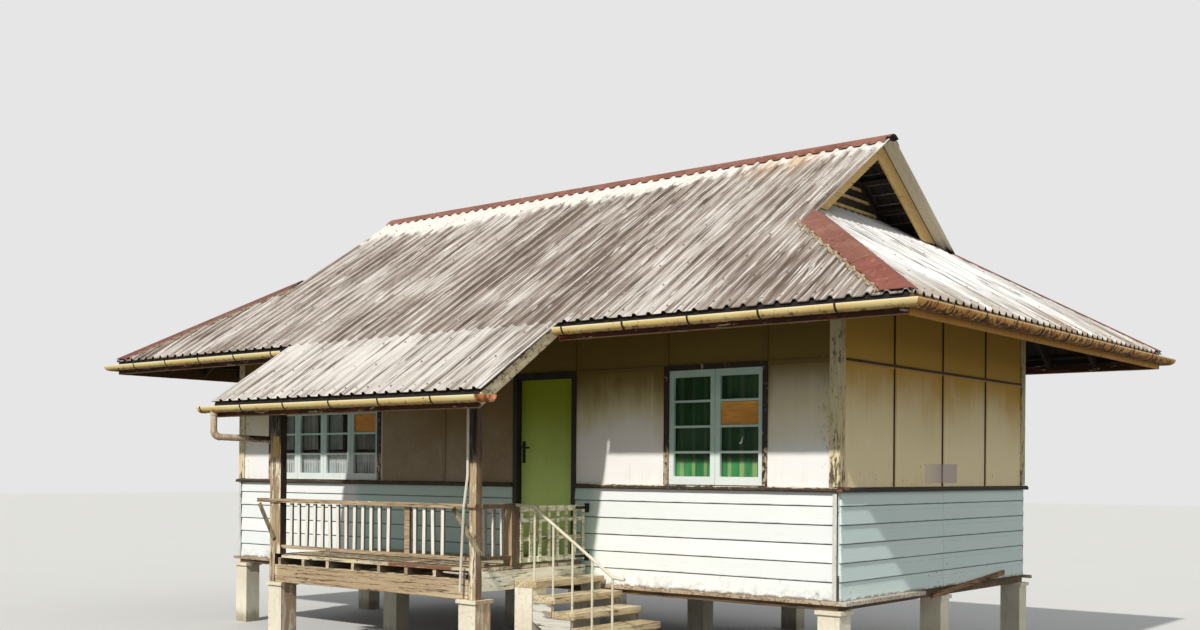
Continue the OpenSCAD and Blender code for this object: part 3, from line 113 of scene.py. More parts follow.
class Signal:
    """One output socket of a shader tree."""

    def __init__(self, tree, socket=None):
        self.tree, self.socket = tree, socket

    def feed(self, socket, value):
        if isinstance(value, Signal):
            self.tree.links.new(value.socket, socket)
        else:
            socket.default_value = value

    def node(self, kind, settings=None, values=None, output=0):
        """Any node: its settings first, then the values or links of its sockets."""
        made = self.tree.nodes.new(kind)
        for key, value in (settings or {}).items():
            setattr(made, key, value)
        for key, value in (values or {}).items():
            self.feed(made.inputs[key], value)
        return Signal(self.tree, made.outputs[output])

    def _sum(self, operation, first, second):
        kind = "ShaderNodeVectorMath" if self.socket.type == "VECTOR" else "ShaderNodeMath"
        return self.node(kind, {"operation": operation}, {0: first, 1: second})

    def __add__(self, other):
        return self._sum("ADD", self, other)

    def __radd__(self, other):
        return self._sum("ADD", other, self)

    def __sub__(self, other):
        return self._sum("SUBTRACT", self, other)

    def __rsub__(self, other):
        return self._sum("SUBTRACT", other, self)

    def __mul__(self, other):
        return self._sum("MULTIPLY", self, other)

    def __rmul__(self, other):
        return self._sum("MULTIPLY", other, self)

    def __truediv__(self, other):
        return self._sum("DIVIDE", self, other)

    def __abs__(self):
        return self._sum("ABSOLUTE", self, 0.0)

    def floor(self):
        return self._sum("FLOOR", self, 0.0)

    def least(self, other):
        return self._sum("MINIMUM", self, other)

    def most(self, other):
        return self._sum("MAXIMUM", self, other)

    def axis(self, letter):
        return self.node("ShaderNodeSeparateXYZ", None, {0: self}, letter)

    x = property(lambda self: self.axis("X"))
    y = property(lambda self: self.axis("Y"))
    z = property(lambda self: self.axis("Z"))

    def over(self, low, high):
        """A soft step: 0 below low, 1 above high. With low above high it runs the other way."""
        if low > high:
            return 1 - self.over(high, low)
        return self.node("ShaderNodeMapRange", {"interpolation_type": "SMOOTHSTEP"},
                         {"Value": self, "From Min": low, "From Max": high})

    def band(self, low, high, soft):
        """1 between two measures, with soft ends."""
        return self.over(low - soft, low + soft) * self.over(high + soft, high - soft)

    def mix(self, below, above):
        """The colour above where this mask is 1, and the colour below where it is 0.
        Three plain numbers are a picked colour."""
        pair = [linear(*c) if isinstance(c, tuple) and len(c) == 3 else c for c in (below, above)]
        return self.node("ShaderNodeMix", {"data_type": "RGBA"}, {0: self, 6: pair[0], 7: pair[1]}, 2)

    def coats(self, *pairs):
        """Colours laid over this one in turn, each where its own mask is 1."""
        colour = self
        for mask, coat in pairs:
            colour = mask.mix(colour, coat)
        return colour

    def between(self, low, high):
        return self.node("ShaderNodeMapRange", None, {"Value": self, "To Min": low, "To Max": high})

    def cloud(self, size, stretch=(1, 1, 1), detail=4.0, rough=0.55, shift=0.0):
        """Noise of a given size in metres, drawn out along an axis where stretch is small."""
        place = self * stretch
        if shift:
            place = place + (shift, shift * 1.7, shift * 0.6)
        return self.node("ShaderNodeTexNoise", None,
                         {"Vector": place, "Scale": 1 / size, "Detail": detail, "Roughness": rough})

    def dice(self, step):
        """One random value for each step along this measure, as for each board of a wall."""
        return self.node("ShaderNodeTexWhiteNoise", {"noise_dimensions": "1D"},
                         {"W": (self / step).floor()})

    def off(self, step):
        """How far this measure is from the nearest whole step, from 0 on it to 0.5 halfway."""
        steps = self / step
        return abs(steps - (steps + 0.5).floor())

    def board(self):
        """One random value for each loose part of a mesh."""
        return self.node("ShaderNodeNewGeometry", output="Random Per Island")

    def facing(self, letter):
        """How far the surface faces along an axis, from -1 to 1."""
        return self.node("ShaderNodeNewGeometry", output="True Normal").axis(letter)


print("a middle grey of 128 reaches the shader as", round(linear(128, 128, 128)[0], 3))

# %% Materials from recipes
def skin(colour, roughness, relief=None, depth=0.002, **more):
    """What a recipe returns: the sockets that change, and a relief with its depth in metres."""
    return {"Base Color": colour, "Roughness": roughness, "relief": relief, "depth": depth, **more}


def finish(name, recipe, **fixed):
    """A material from a recipe, which gets the place on the house and returns its skin."""
    material = bpy.data.materials.new(name)
    material.use_nodes = True
    tree = material.node_tree
    shader = tree.nodes["Principled BSDF"]
    place = Signal(tree).node("ShaderNodeTexCoord", output="Object")
    made = recipe(place)
    relief, depth = made.pop("relief"), made.pop("depth")
    for key, value in {**made, **fixed}.items():
        place.feed(shader.inputs[key], value)
    if relief is not None:
        bump = {"Height": relief, "Distance": depth, "Strength": 1.0}
        place.feed(shader.inputs["Normal"], place.node("ShaderNodeBump", None, bump))
    return material


def dress(material, *names):
    """Gives CAD nodes a finish without touching their meshes."""
    for name in names:
        mesh = nodes[name].data
        mesh.materials.clear()
        mesh.materials.append(material)


print("a recipe can now become a material and dress", len(nodes), "nodes")

# %% [markdown]
# Ribbed roof sheets
# The sheets are old zinc-coated steel. Rain carries dirt down the pans and leaves it there in fine
# streaks. The tops of the ribs are painted paler, as wear and as a painted highlight, and their feet
# darker, as dirt and as painted shade, and the undersides of the sheets are painted dark as shade. A
# picture of a real roof would tie the pattern to one size, so the dirt is worked out: a measure across
# the ribs says how near a rib's top is, and noise drawn out along the slope makes streaks of three
# widths. The end slopes have their ribs the other way, so the recipe takes its two measures, across
# and along, as its own.

# %% Roof finishes
sheet_width = rib_gap * 4


def sheet_recipe(across_axis, offset, pale, middle, dark, extra=None):
    def run(length):
        return (1, length, 0.0) if across_axis == "X" else (length, 1, 0.0)

    def recipe(place):
        across = place.axis(across_axis) + offset
        rib = across.off(rib_gap) * rib_gap
        crest = rib.over(0.019, 0.011)
        foot = rib.over(0.022, 0.032) * rib.over(0.052, 0.038)
        sheet = across.dice(sheet_width)
        lane = place.cloud(0.15, run(0.07), 3.0)
        streak = place.cloud(0.052, run(0.07), 5.0, 0.62)
        hair = place.cloud(0.023, run(0.05), 3.0, 0.6, 3.0)
        thread = place.cloud(0.020, run(0.035), 2.0, 0.5, 13.0)
        speck = place.cloud(0.03, (1, 1, 0), 3.0, 0.65, 5.0)
        patch = place.cloud(1.5, (1, 1, 0), 3.0, 0.5, 8.0)
        grime = lane * 0.34 + streak * 0.36 + hair * 0.30 + (patch - 0.5) * 0.45
        # The crests are painted paler, as wear and as a painted highlight, and the feet of the ribs
        # darker, as dirt and as painted shade.
        grime = grime + (sheet - 0.5) * 0.06 + foot * 0.07 - crest * 0.10
        if extra:
            grime = grime + extra(place)
        seam = across.off(sheet_width) * sheet_width
        colour = grime.over(0.38, 0.49).mix(pale, middle).coats(
            (grime.over(0.50, 0.62), dark),
            (thread.over(0.575, 0.625) * lane.over(0.36, 0.50) * 0.72, (88, 75, 66)),
            (thread.over(0.425, 0.375) * lane.over(0.64, 0.50) * 0.85, (230, 226, 220)),
            (hair.over(0.64, 0.70) * 0.7, (74, 62, 54)),
            (seam.band(0.030, 0.037, 0.003) * lane.over(0.38, 0.5), (66, 55, 48)),
            (speck.over(0.32, 0.27) * 0.95, (236, 233, 228)))
        if across_axis == "X":
            down = abs(place.y - middle_y)
            reach = place.cloud(0.08, (1, 0.22, 0), 4.0, 0.65, 9.0) * 0.95 + 0.03
            reach = reach - place.x.over(0.7, 2.6) * 0.20 + place.x.over(-0.4, -2.8) * 0.14
            worn_band = (down - reach).over(0.10, -0.04) * (0.66 + lane * 0.6).least(1.0)
            warm = place.x.band(2.35, 3.3, 0.25) * down.over(0.8, 0.25) * streak.over(0.46, 0.56)
            mould = place.x.over(3.2, 3.75) * down.over(1.9, 1.5) * speck.over(0.60, 0.66)
            colour = colour.coats(
                (worn_band, (232, 228, 220)),
                (warm * 0.7, (206, 168, 120)),
                (mould * 0.85, (70, 58, 48)))
        else:
            outward = abs(place.x)
            colour = colour.coats(
                (outward.over(5.1, 5.75) * streak.over(0.40, 0.56) * 0.7, (148, 128, 100)),
                (outward.over(4.05, 3.75) * 0.6, (232, 232, 230)))
        # Painted shade: the undersides of the sheets are painted dark brown, except a pale zinc strip
        # under the verges.
        under = place.facing("Z").over(0.02, -0.02)
        outer = abs(place.x).band(verge_x - 0.16, verge_x + 0.02, 0.004)
        below = (outer * abs(place.y - middle_y).over(1.75, 1.65)).mix((50, 41, 34), (220, 212, 190))
        colour = under.mix(colour, below)
        return skin(colour, grime.over(0.3, 0.6).between(0.5, 0.85), hair * 0.6 + speck * 0.4, 0.0018)
    return recipe


def browner(place):
    """The middle of the long slope holds more dirt than its two ends."""
    return place.x.over(-3.6, 0.4) * 0.060 - 0.02 - place.x.over(1.3, 2.8) * 0.085


dress(finish("zinc_sheet_main", sheet_recipe(
    "X", 0.0, (198, 191, 183), (154, 141, 130), (108, 92, 81), browner)), "roof_front", "roof_rear")
dress(finish("zinc_sheet_porch", sheet_recipe(
    "X", 0.0, (222, 217, 210), (200, 193, 185), (150, 138, 128))), "porch_roof")
dress(finish("zinc_sheet_end", sheet_recipe(
    "Y", -middle_y, (228, 228, 227), (198, 197, 194), (146, 139, 131))), "roof_ends")
print("three roof finishes, sheets", sheet_width, "wide")

# %% [markdown]
# Rust-red strips on the ridge and the hips
# The strips were painted red and have weathered to a chalky brown with darker scabs. Each hip has
# two lengths that overlap, the upper one over the lower, which shows as a thin dark line and a
# change of tone. A measure along the hip finds that place.

# %% Rusted flashings
hip_lap = 4.09


def rust_recipe(place):
    broad = place.cloud(0.45, detail=3.0)
    blotch = place.cloud(0.07, detail=5.0, rough=0.68)
    grit = place.cloud(0.011, detail=3.0, rough=0.7)
    along = (abs(place.x) + abs(place.y - middle_y)) / 2
    on_hip = along.over(2.6, 2.7) * abs(place.y - middle_y).over(0.3, 0.4)
    lower = (along + blotch * 0.02).over(hip_lap + 0.008, hip_lap + 0.012) * on_hip
    # Painted shade: the cap's ends and every downward face are painted nearly black.
    end = abs(place.facing("X")).over(0.6, 0.9)
    colour = broad.over(0.35, 0.65).mix((148, 98, 82), (124, 76, 62)).coats(
        (lower * 0.6, (136, 70, 56)),
        (place.x.over(-3.0, -4.0) * on_hip * 0.55, (92, 54, 44)),
        (blotch.over(0.54, 0.66) * 0.8, (92, 52, 42)),
        (blotch.over(0.42, 0.30) * 0.7, (176, 124, 102)),
        (grit.over(0.58, 0.70) * 0.55, (186, 146, 126)),
        (grit.over(0.42, 0.30) * 0.5, (74, 42, 34)),
        ((along + blotch * 0.02).band(hip_lap + 0.004, hip_lap + 0.012, 0.003) * on_hip, (48, 28, 24)),
        (end * (1 - on_hip), (40, 26, 22)),
        (place.facing("Z").over(0.0, -0.1), (60, 38, 30)))
    return skin(colour, grit.between(0.75, 0.95), grit * 0.5 + blotch, 0.004)


rust = finish("rusted_flashing", rust_recipe)
dress(rust, "ridge_cap")
print("rust on the ridge, laps of the hips at", hip_lap)

# %% [markdown]
# Painted wall panels
# Above the sill belt the walls are flat sheets, painted cream at the front and tan at the ends.
# Each sheet has faded a little by itself. Under the eaves the colour is painted darker towards the top
# as shade, and below the line of the eaves' shadow it is painted paler, as real fading and as painted
# sunlight. Between the left window and the door the wall is painted brown as the shade of the porch
# roof. Rain has left upright streaks over the belt. One recipe serves all walls, with its colours
# passed in. The marks that one stretch of wall has for itself are small masks, which the strips over
# the joints use again.

# %% Panel finishes
def in_front(place):
    """1 on the front wall, so that its own marks aren't repeated on the rear wall."""
    return place.y.over(front + 0.3, front + 0.2)


def painted_porch_shade(place):
    """The panels between the left window and the door, painted brown as the shade of the porch roof.
    """
    return place.x.band(-1.70, 0.545, 0.02) * in_front(place)


def grey_patch(place):
    """A piece of the end walls that was primed grey and never painted over."""
    return place.y.band(0.123, 0.987, 0.004) * place.z.band(2.054, 2.262, 0.004)


def panel_recipe(along, shaded, paint, faded_and_sunlit, stain):
    def recipe(place):
        measure, height = place.axis(along), place.z
        up = (1, 1, 0.10)
        panel = measure.dice(1.22)
        broad = place.cloud(0.7, detail=3.0)
        drip = place.cloud(0.07, up, 4.0, 0.6)
        thin = place.cloud(0.018, up, 3.0, 0.6, 2.0)
        mould = place.cloud(0.04, detail=5.0, rough=0.7, shift=4.0)
        level = height + (broad - 0.5) * 0.5 + (drip - 0.5) * 0.25 + (panel - 0.5) * 0.12
        low = height.over(sill_z + 0.30, sill_z + 0.02)
        wet = drip * 0.55 + thin * 0.3 + low * 0.14 + broad * 0.15
        # Painted light and shade: paler below the eaves' shadow line, as painted sunlight and real
        # fading, and darker towards the top as painted shade under the eaves.
        colour = level.over(2.36, 2.95).mix(faded_and_sunlit, paint).coats(
            (level.over(2.70, 3.25), shaded),
            (wet.over(0.58, 0.82) * 0.22, stain),
            ((mould + low * 0.05).over(0.72, 0.77) * 0.7, (96, 86, 70)),
            ((thin * 0.5 + mould * 0.5).over(0.36, 0.28), faded_and_sunlit))
        if along == "X":
            # Painted shade: the wall under the porch roof is painted brown.
            brown = painted_porch_shade(place)
            pocks = (mould * 0.5 + thin * 0.5).over(0.60, 0.64) * height.over(2.7, 2.3) * brown
            beside = abs(measure).over(3.72, 3.90) * height.over(3.3, 2.9) * height.over(2.36, 2.6)
            beside = beside * in_front(place)
            corner = abs(measure).over(side - 0.30, side - 0.08) * height.over(3.24, 3.18)
            scab = (mould * 0.6 + thin * 0.4 + corner * 0.04).over(0.60, 0.63) * corner
            sooty = height.over(2.36, 2.5) * height.over(3.0, 2.6) * mould.over(0.5, 0.62) * corner
            colour = colour.coats(
                (brown * (0.62 + broad * 0.3 + mould * 0.2).least(1.0), (140, 114, 70)),
                (pocks * 0.6, (206, 196, 168)),
                (beside * 0.6, (246, 236, 208)),
                (scab * 0.7, (74, 64, 52)),
                (sooty * 0.4, (112, 100, 78)))
        else:
            grey = grey_patch(place) * measure.over(0.15, 0.60).between(0.45, 1.0)
            nail = (mould * 0.5 + thin * 0.5 + low * 0.03).over(0.64, 0.67)
            colour = colour.coats(
                (grey * 0.8, (198, 184, 184)),
                (nail * 0.9, (92, 66, 40)))
        return skin(colour, broad.between(0.6, 0.85), broad * 0.5 + thin * 0.3 + mould * 0.3, 0.003)
    return recipe


cream_panel = finish("cream_wall_panel", panel_recipe(
    "X", (130, 107, 42), (218, 206, 154), (255, 253, 250), (204, 190, 166)))
tan_panel = finish("tan_wall_panel", panel_recipe(
    "Y", (212, 164, 60), (240, 219, 166), (255, 236, 192), (222, 192, 138)))
dress(cream_panel, "front_wall_left", "front_wall_over_door", "front_wall_right", "rear_wall")
dress(tan_panel, "left_end_wall", "right_end_wall")
print("wall panels", cream_panel.name, tan_panel.name)

# %% [markdown]
# Strips over the joints
# The strips that cover the joints of the panels are painted with them, but their left edges have
# opened and show as a thin dark line. The strips' own places come from their mesh: a loose part is
# one strip, and a mask is added for each.

# %% Joint strips
def islands(mesh):
    """The loose parts of a mesh, each as a list of its corners."""
    seen, parts = set(), []
    for start in mesh.verts:
        if start in seen:
            continue
        part, queue = [], [start]
        seen.add(start)
        while queue:
            corner = queue.pop()
            part.append(corner)
            for edge in corner.link_edges:
                other = edge.other_vert(corner)
                if other not in seen:
                    seen.add(other)
                    queue.append(other)
        parts.append(part)
    return parts


def spread(part):
    """Lowest and highest corner of one loose part."""
    low = Vector([min(v.co[i] for v in part) for i in range(3)])
    high = Vector([max(v.co[i] for v in part) for i in range(3)])
    return low, high


def solid_copy(node):
    """The CAD mesh with its doubled corners joined and its flat faces whole."""
    mesh = bmesh.new()
    mesh.from_mesh(nodes[node].data)
    bmesh.ops.remove_doubles(mesh, verts=mesh.verts, dist=1e-5)
    bmesh.ops.dissolve_limit(mesh, angle_limit=0.01, verts=mesh.verts, edges=mesh.edges)
    return mesh


print("helpers for loose parts ready")

# %% Where the strips are
mesh = solid_copy("panel_battens")
strips = [spread(part) for part in islands(mesh)]
low_corners = [corner.co for corner in mesh.verts if corner.co.x > side and corner.co.z < sill_z + 0.2]
end_uprights = sorted({round(place.y, 4) for place in low_corners})[0::2]
mesh.free()
transoms = sorted({round(high.z, 4) for low, high in strips if high.z - low.z < 0.5})
print("strips", len(strips), "uprights of the end wall", end_uprights, "transoms", transoms)


# %% Strip paint
def strip_recipe(place):
    y, height = place.y, place.z
    fray = place.cloud(0.03, (1, 1, 0.3), 4.0, 0.65)
    on_end = abs(place.x).over(side - 0.01, side)
    broad = place.cloud(0.5, (1, 1, 0.5), 3.0)
    # Painted light and shade as on the panels: paler below the eaves' shadow line, darker towards the
    # top, brown under the porch roof.
    flat = height.over(2.36, 2.95).mix((244, 236, 222), (200, 186, 138)).coats(
        (height.over(2.75, 3.20), (124, 100, 42)),
        (painted_porch_shade(place) * 0.8, (120, 96, 56)))
    lines = [(y - edge + fray * 0.008).over(0.020, 0.016) * (y - edge).over(-0.01, 0.0)
             for edge in end_uprights]
    lines += [(edge - height + fray * 0.008).over(0.034, 0.028) * (edge - height).over(-0.01, 0.0)
              * height.over(edge + 0.02, edge + 0.01) for edge in transoms]
    dark = lines[0]
    for line in lines[1:]:
        dark = dark.most(line)
    # Painted shade: on the end walls the strips are painted darker towards the top, under the eaves.
    colour = height.over(2.5, 3.2).mix((244, 218, 160), (206, 164, 86)).coats(
        (1 - on_end, flat),
        (dark * on_end * 0.95, (58, 36, 16)),
        (grey_patch(place) * on_end * 0.6, (198, 184, 184)),
        (fray.over(0.60, 0.70) * 0.6, (120, 98, 66)))
    return skin(colour, broad.between(0.65, 0.85), fray, 0.002)


dress(finish("joint_strip_paint", strip_recipe), "panel_battens")
print("strips painted, with", len(end_uprights) + len(transoms), "dark lines")

# %% [markdown]
# Lapped boards
# The lower wall is covered with boards that overlap downwards, painted a very pale aqua. Each board
# has its own tone, and on the end wall the boards meet at the middle. The paint has gone along some
# lower edges, and splashes have browned the lowest board. Right under each lap a dark line is painted
# as the shadow of the board above, the lower edges are also darkened as painted shade, and on the end
# walls a faint line across each board is painted as the shade of its groove. Under the porch roof the
# boards are tinted aqua, and on the end walls greyer, as painted shade. A board's number comes from
# its height, so these lines sit exactly on the laps.

# %% Siding finish
lap = 0.183


def siding_recipe(place):
    height = place.z - siding_z
    row = (height / lap).floor()
    in_board = height / lap - row
    on_end = abs(place.x).over(side - 0.02, side - 0.01)
    half = place.y.over(middle_y - 0.0005, middle_y + 0.0005) * on_end
    tone = (row * 2 + half + 0.5).dice(1.0)
    level = (0.10, 0.10, 1)
    brush = place.cloud(0.02, level, 3.0)
    broad = place.cloud(0.7, detail=3.0)
    chip = place.cloud(0.05, (0.5, 0.5, 1), 5.0, 0.7, 1.0)
    mark = place.cloud(0.09, (1, 1, 1), 5.0, 0.7, 6.0)
    # The boards under the porch roof, which are tinted as painted shade.
    cover_mask = place.x.band(-2.15, 1.68, 0.09) * (1 - on_end) * in_front(place)
    # Painted shade: a dark line right under each lap as the shadow of the board above, the lower edges
    # darkened as worn paint and as shade, and on the end walls a faint line as the shade of a groove.
    edge = in_board.over(0.060, 0.01)
    under = in_board.over(0.925, 0.945)
    second = in_board.band(0.66, 0.70, 0.012) * on_end
    butt = abs(place.y - middle_y).over(0.0045, 0.002) * on_end
    peel = chip + edge * 0.07 - 0.02
    splash = height.over(0.20, 0.0) * mark.over(0.44, 0.64) * (1 - on_end * 0.85)
    grime = mark.over(0.62, 0.70) * height.over(0.30, 0.05) * (1 - on_end * 0.8)
    rot = height.over(0.032, 0.006) * chip.over(0.44, 0.54)
    rusty = place.cloud(0.055, detail=2.0, shift=11.0).over(0.72, 0.74)
    rusty = rusty * height.over(0.42, 0.2) * on_end
    colour = (tone * 0.6 + broad * 0.4).over(0.2, 0.8).mix((253, 255, 253), (243, 248, 246)).coats(
        # Painted shade: greyer aqua on the end walls, and aqua under the porch roof.
        (on_end * 0.7, (202, 229, 227)),
        (cover_mask * 0.65, (178, 220, 210)),
        (brush.over(0.52, 0.8) * 0.22, (206, 216, 212)),
        (edge * brush.over(0.40, 0.6) * 0.40, (96, 106, 106)),
        (under * 0.85, (56, 66, 66)),
        (second * brush.over(0.35, 0.6) * 0.35, (150, 170, 170)),
        (butt * 0.6, (120, 134, 132)),
        (peel.over(0.70, 0.73) * 0.8, (150, 140, 124)),
        (splash * 0.40, (176, 168, 150)),
        (grime * 0.6, (126, 118, 106)),
        (rot * 0.8, (118, 102, 84)),
        (rusty * 0.9, (134, 78, 50)))
    relief = brush * 0.4 - peel.over(0.70, 0.73) * 0.5 - butt
    return skin(colour, broad.between(0.45, 0.7), relief, 0.002)


dress(finish("pale_lapped_boards", siding_recipe), "lap_siding")
print("siding rows", round((sill_z - siding_z) / lap, 1))

# %% [markdown]
# Weathered timber
# Bare boards go silver-grey, crack along the grain and keep a few long scraps of old paint. The
# grain has to run along each board, whichever way the board lies, so there is one finish for each
# direction, and the mesh code further on picks it by the board's longest side. Every loose board
# also gets a tone of its own. Thin dark cracks come from a level line of drawn-out noise.

# %% Timber finishes
def drawn_out(by):
    """For each direction, the stretch that draws noise out along it."""
    return {letter: tuple(by if letter == other else 1 for other in "XYZ") for letter in "XYZ"}


ALONG, SOFT = drawn_out(0.045), drawn_out(0.16)
deck_edge, porch_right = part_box("porch_deck")[0].y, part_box("porch_deck")[1].x


def timber_recipe(axis, pale, middle, dark, paint=None, cover=0.0, shift=0.0, shaded=None, scar=None,
                  hidden=None):
    """Bare wood in three tones, with the grain along an axis. cover is how much paint is left on it,
    shaded the painted shade of the faces towards the end wall's side, hidden the painted shade of the
    faces in the dark under the deck, and scar a mask and the tone there: raw wood on the deck's split
    edge, painted shade on the posts."""
    def recipe(place):
        own = place.board()
        grain = place.cloud(0.020, ALONG[axis], 5.0, 0.65, shift)
        hair = place.cloud(0.006, ALONG[axis], 2.0, 0.5, shift + 2)
        split = place.cloud(0.045, ALONG[axis], 3.0, 0.5, shift + 4)
        broad = place.cloud(0.30, SOFT[axis], 4.0, 0.6, shift)
        gap = abs(split - 0.5).over(0.018, 0.007) * grain.over(0.43, 0.49)
        colour = (own * 0.4 + broad * 0.6).over(0.34, 0.66).mix(middle, pale).coats(
            (grain.over(0.48, 0.68) * 0.7, dark),
            (hair.over(0.56, 0.70) * 0.45, dark),
            (gap * 0.9, (44, 34, 26)))
        relief = 1 - grain * 0.6 - gap * 0.4
        if paint:
            scrap = place.cloud(0.07, SOFT[axis], 6.0, 0.66, shift + 5)
            cover_mask = scrap + (own - 0.5) * 0.10 + (broad - 0.5) * 0.35 - gap * 0.1
            on = cover_mask.over(0.97 - cover, 1.0 - cover)
            colour = on.mix(colour, (grain.over(0.45, 0.70) * 0.4).mix(paint, middle))
            relief = relief * 0.75 + on * 0.25
        # Painted shade on the faces towards the end wall's side.
        if shaded:
            colour = (place.facing("X").over(0.4, 0.8) * (0.72 + grain * 0.25)).mix(colour, shaded)
        # Painted shade on the faces in the dark under the deck.
        if hidden:
            away = place.facing("Y").over(-0.6, -0.3) * place.facing("Z").over(0.5, 0.2)
            away = away * place.x.over(porch_right - 0.013, porch_right - 0.023)
            colour = (away * 0.85).mix(colour, hidden)
        if scar:
            mask, raw = scar
            colour = (mask(place) * grain.over(0.80, 0.46)).mix(colour, raw)
        return skin(colour, grain.between(0.7, 0.92), relief, 0.004)
    return recipe


def timbers(name, *colours, **more):
    """The same timber finish in the three directions a board can run."""
    return {axis: finish(name + "_" + axis.lower(), timber_recipe(axis, *colours, **more))
            for axis in "XYZ"}


print("grain helpers ready, porch edge", round(deck_edge, 3), "right end", round(porch_right, 3))

# %% Splits, soot and the timbers
def splintered(place):
    """The stretch of the deck's front edge that has split down to fresh wood."""
    ragged = place.cloud(0.09, SOFT["X"], 4.0, 0.6, 1.0)
    edge = (place.y + ragged * 0.06).over(deck_edge + 0.13, deck_edge + 0.07)
    edge = edge * place.z.over(floor_z - 0.055, floor_z - 0.045)
    return (place.x + ragged * 0.2).band(0.40, 1.36, 0.03) * edge


def painted_post_shade(place):
    """Painted shade: the upper part of a porch post, under the porch roof, and the left post's side
    towards the end wall are painted nearly black.
    """
    ragged = place.cloud(0.06, SOFT["Z"], 4.0, 0.6, 1.0)
    limit = place.x.over(-0.5, 0.5).between(2.52, 2.25)
    top = (place.z - limit + (ragged - 0.5) * 0.5).over(-0.09, 0.09)
    aside = place.facing("X").over(0.4, 0.9)
    return (top * (1 - aside * 0.28)).most(aside * place.x.over(0.5, -0.5) * 0.9)


grey_timber = timbers("weathered_timber", (228, 212, 178), (186, 164, 130), (98, 76, 54),
                      paint=(240, 230, 206), cover=0.40, scar=(splintered, (132, 88, 60)),
                      hidden=(52, 40, 30))
beam_timber = timbers("porch_beam_timber", (230, 212, 178), (190, 166, 132), (98, 74, 52),
                      paint=(240, 228, 196), cover=0.34, shift=2.0, shaded=(96, 66, 42))
rail_timber = timbers("porch_rail_timber", (226, 206, 172), (184, 160, 126), (86, 64, 44),
                      paint=(244, 234, 206), cover=0.36, shift=3.0, shaded=(74, 52, 34))
post_timber = timbers("porch_post_timber", (228, 206, 172), (190, 164, 130), (72, 54, 38),
                      paint=(242, 232, 206), cover=0.46, shift=5.0, shaded=(112, 84, 58),
                      scar=(painted_post_shade, (20, 15, 11)))
end_timber = timbers("porch_end_timber", (240, 234, 210), (216, 206, 174), (132, 114, 86),
                     paint=(250, 246, 228), cover=0.55, shift=37.0)
gate_timber = timbers("gate_timber", (226, 222, 182), (192, 188, 144), (100, 92, 62),
                      paint=(238, 240, 210), cover=0.46, shift=39.0)
strut_timber = timbers("strut_timber", (158, 148, 118), (124, 112, 84), (66, 54, 38), shift=5.0)
baluster_timber = timbers("baluster_timber", (212, 204, 184), (176, 166, 146), (96, 82, 64),
                          paint=(248, 244, 232), cover=0.72, shift=9.0, shaded=(74, 60, 46))
# Painted shade: the bearers and floor joists under the house get a dark tone because they stand in
# shade.
dark_bearer = timbers("underside_timber", (128, 106, 82), (98, 78, 58), (52, 40, 30), shift=14.0)
white_timber = timbers("white_painted_timber", (196, 188, 172), (166, 156, 140), (110, 98, 82),
                       paint=(226, 222, 210), cover=0.62, shift=8.0, shaded=(176, 160, 140))
step_timber = timbers("worn_step_timber", (234, 218, 180), (204, 184, 144), (128, 104, 74),
                      paint=(238, 230, 204), cover=0.34, shift=12.0)
brown_timber = timbers("brown_roof_timber", (78, 60, 46), (58, 44, 34), (34, 26, 20), shift=16.0)
cream_timber = timbers("cream_painted_timber", (206, 170, 112), (180, 142, 90), (96, 72, 48),
                       paint=(218, 182, 118), cover=0.62, shift=20.0)
floor_timber = timbers("worn_floor_timber", (150, 116, 80), (122, 92, 62), (82, 60, 42), shift=28.0)
plank_timber = timbers("loose_plank_timber", (168, 132, 92), (130, 98, 66), (74, 54, 38),
                       paint=(196, 172, 130), cover=0.30, shift=31.0)
print("timber finishes", len(bpy.data.materials))

# %% [markdown]
# Boards with a history of their own
# A few boards don't weather like the rest. The front fascia hides behind the gutter and has kept a
# dark red-brown with flakes of white; above the gutter's rim it is painted nearly black as shade. The
# sill belt is painted almost black on the end wall as shade, and its white flakes are painted fully
# only where the sun falls, as painted light. The porch roof's side boards peel in long scabs, black
# with mould where they meet the sheets. Each of them gets its own short recipe.

# %% Fascias
def flakes(place, axis, size, low, high, shift):
    """Scraps of paint drawn out along a board."""
    return place.cloud(size, SOFT[axis], 6.0, 0.68, shift).over(low, high)


porch_drop = 0.7246
fascia_foot = 3.4687
gutter_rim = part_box("gutters")[1].z
porch_rim = gutter_rim - porch_drop


def front_fascia_recipe(place):
    broad = place.cloud(0.5, SOFT["X"], 3.0)
    rusty = flakes(place, "X", 0.05, 0.52, 0.60, 41.0)
    white = flakes(place, "X", 0.035, 0.60, 0.62, 43.0)
    on_porch = place.y.over(front - 2.0, front - 2.1)
    foot = place.z - on_porch.between(fascia_foot, fascia_foot - porch_drop)
    bottom = (foot + (rusty - 0.5) * 0.006).over(0.012, 0.007)
    # Painted shade: above the gutter's rim the fascia is painted nearly black, as the shade under the
    # sheets.
    behind = place.z - on_porch.between(gutter_rim, porch_rim)
    colour = broad.over(0.35, 0.65).mix((88, 46, 32), (58, 31, 23)).coats(
        (rusty * 0.7, (136, 74, 44)),
        (white * 0.9, (222, 208, 180)),
        (bottom * place.facing("Z").over(-0.5, 0.0) * 0.75, (196, 160, 108)),
        (behind.over(-0.02, -0.005), (22, 18, 15)))
    return skin(colour, white.between(0.8, 0.6), white + rusty * 0.4, 0.002)


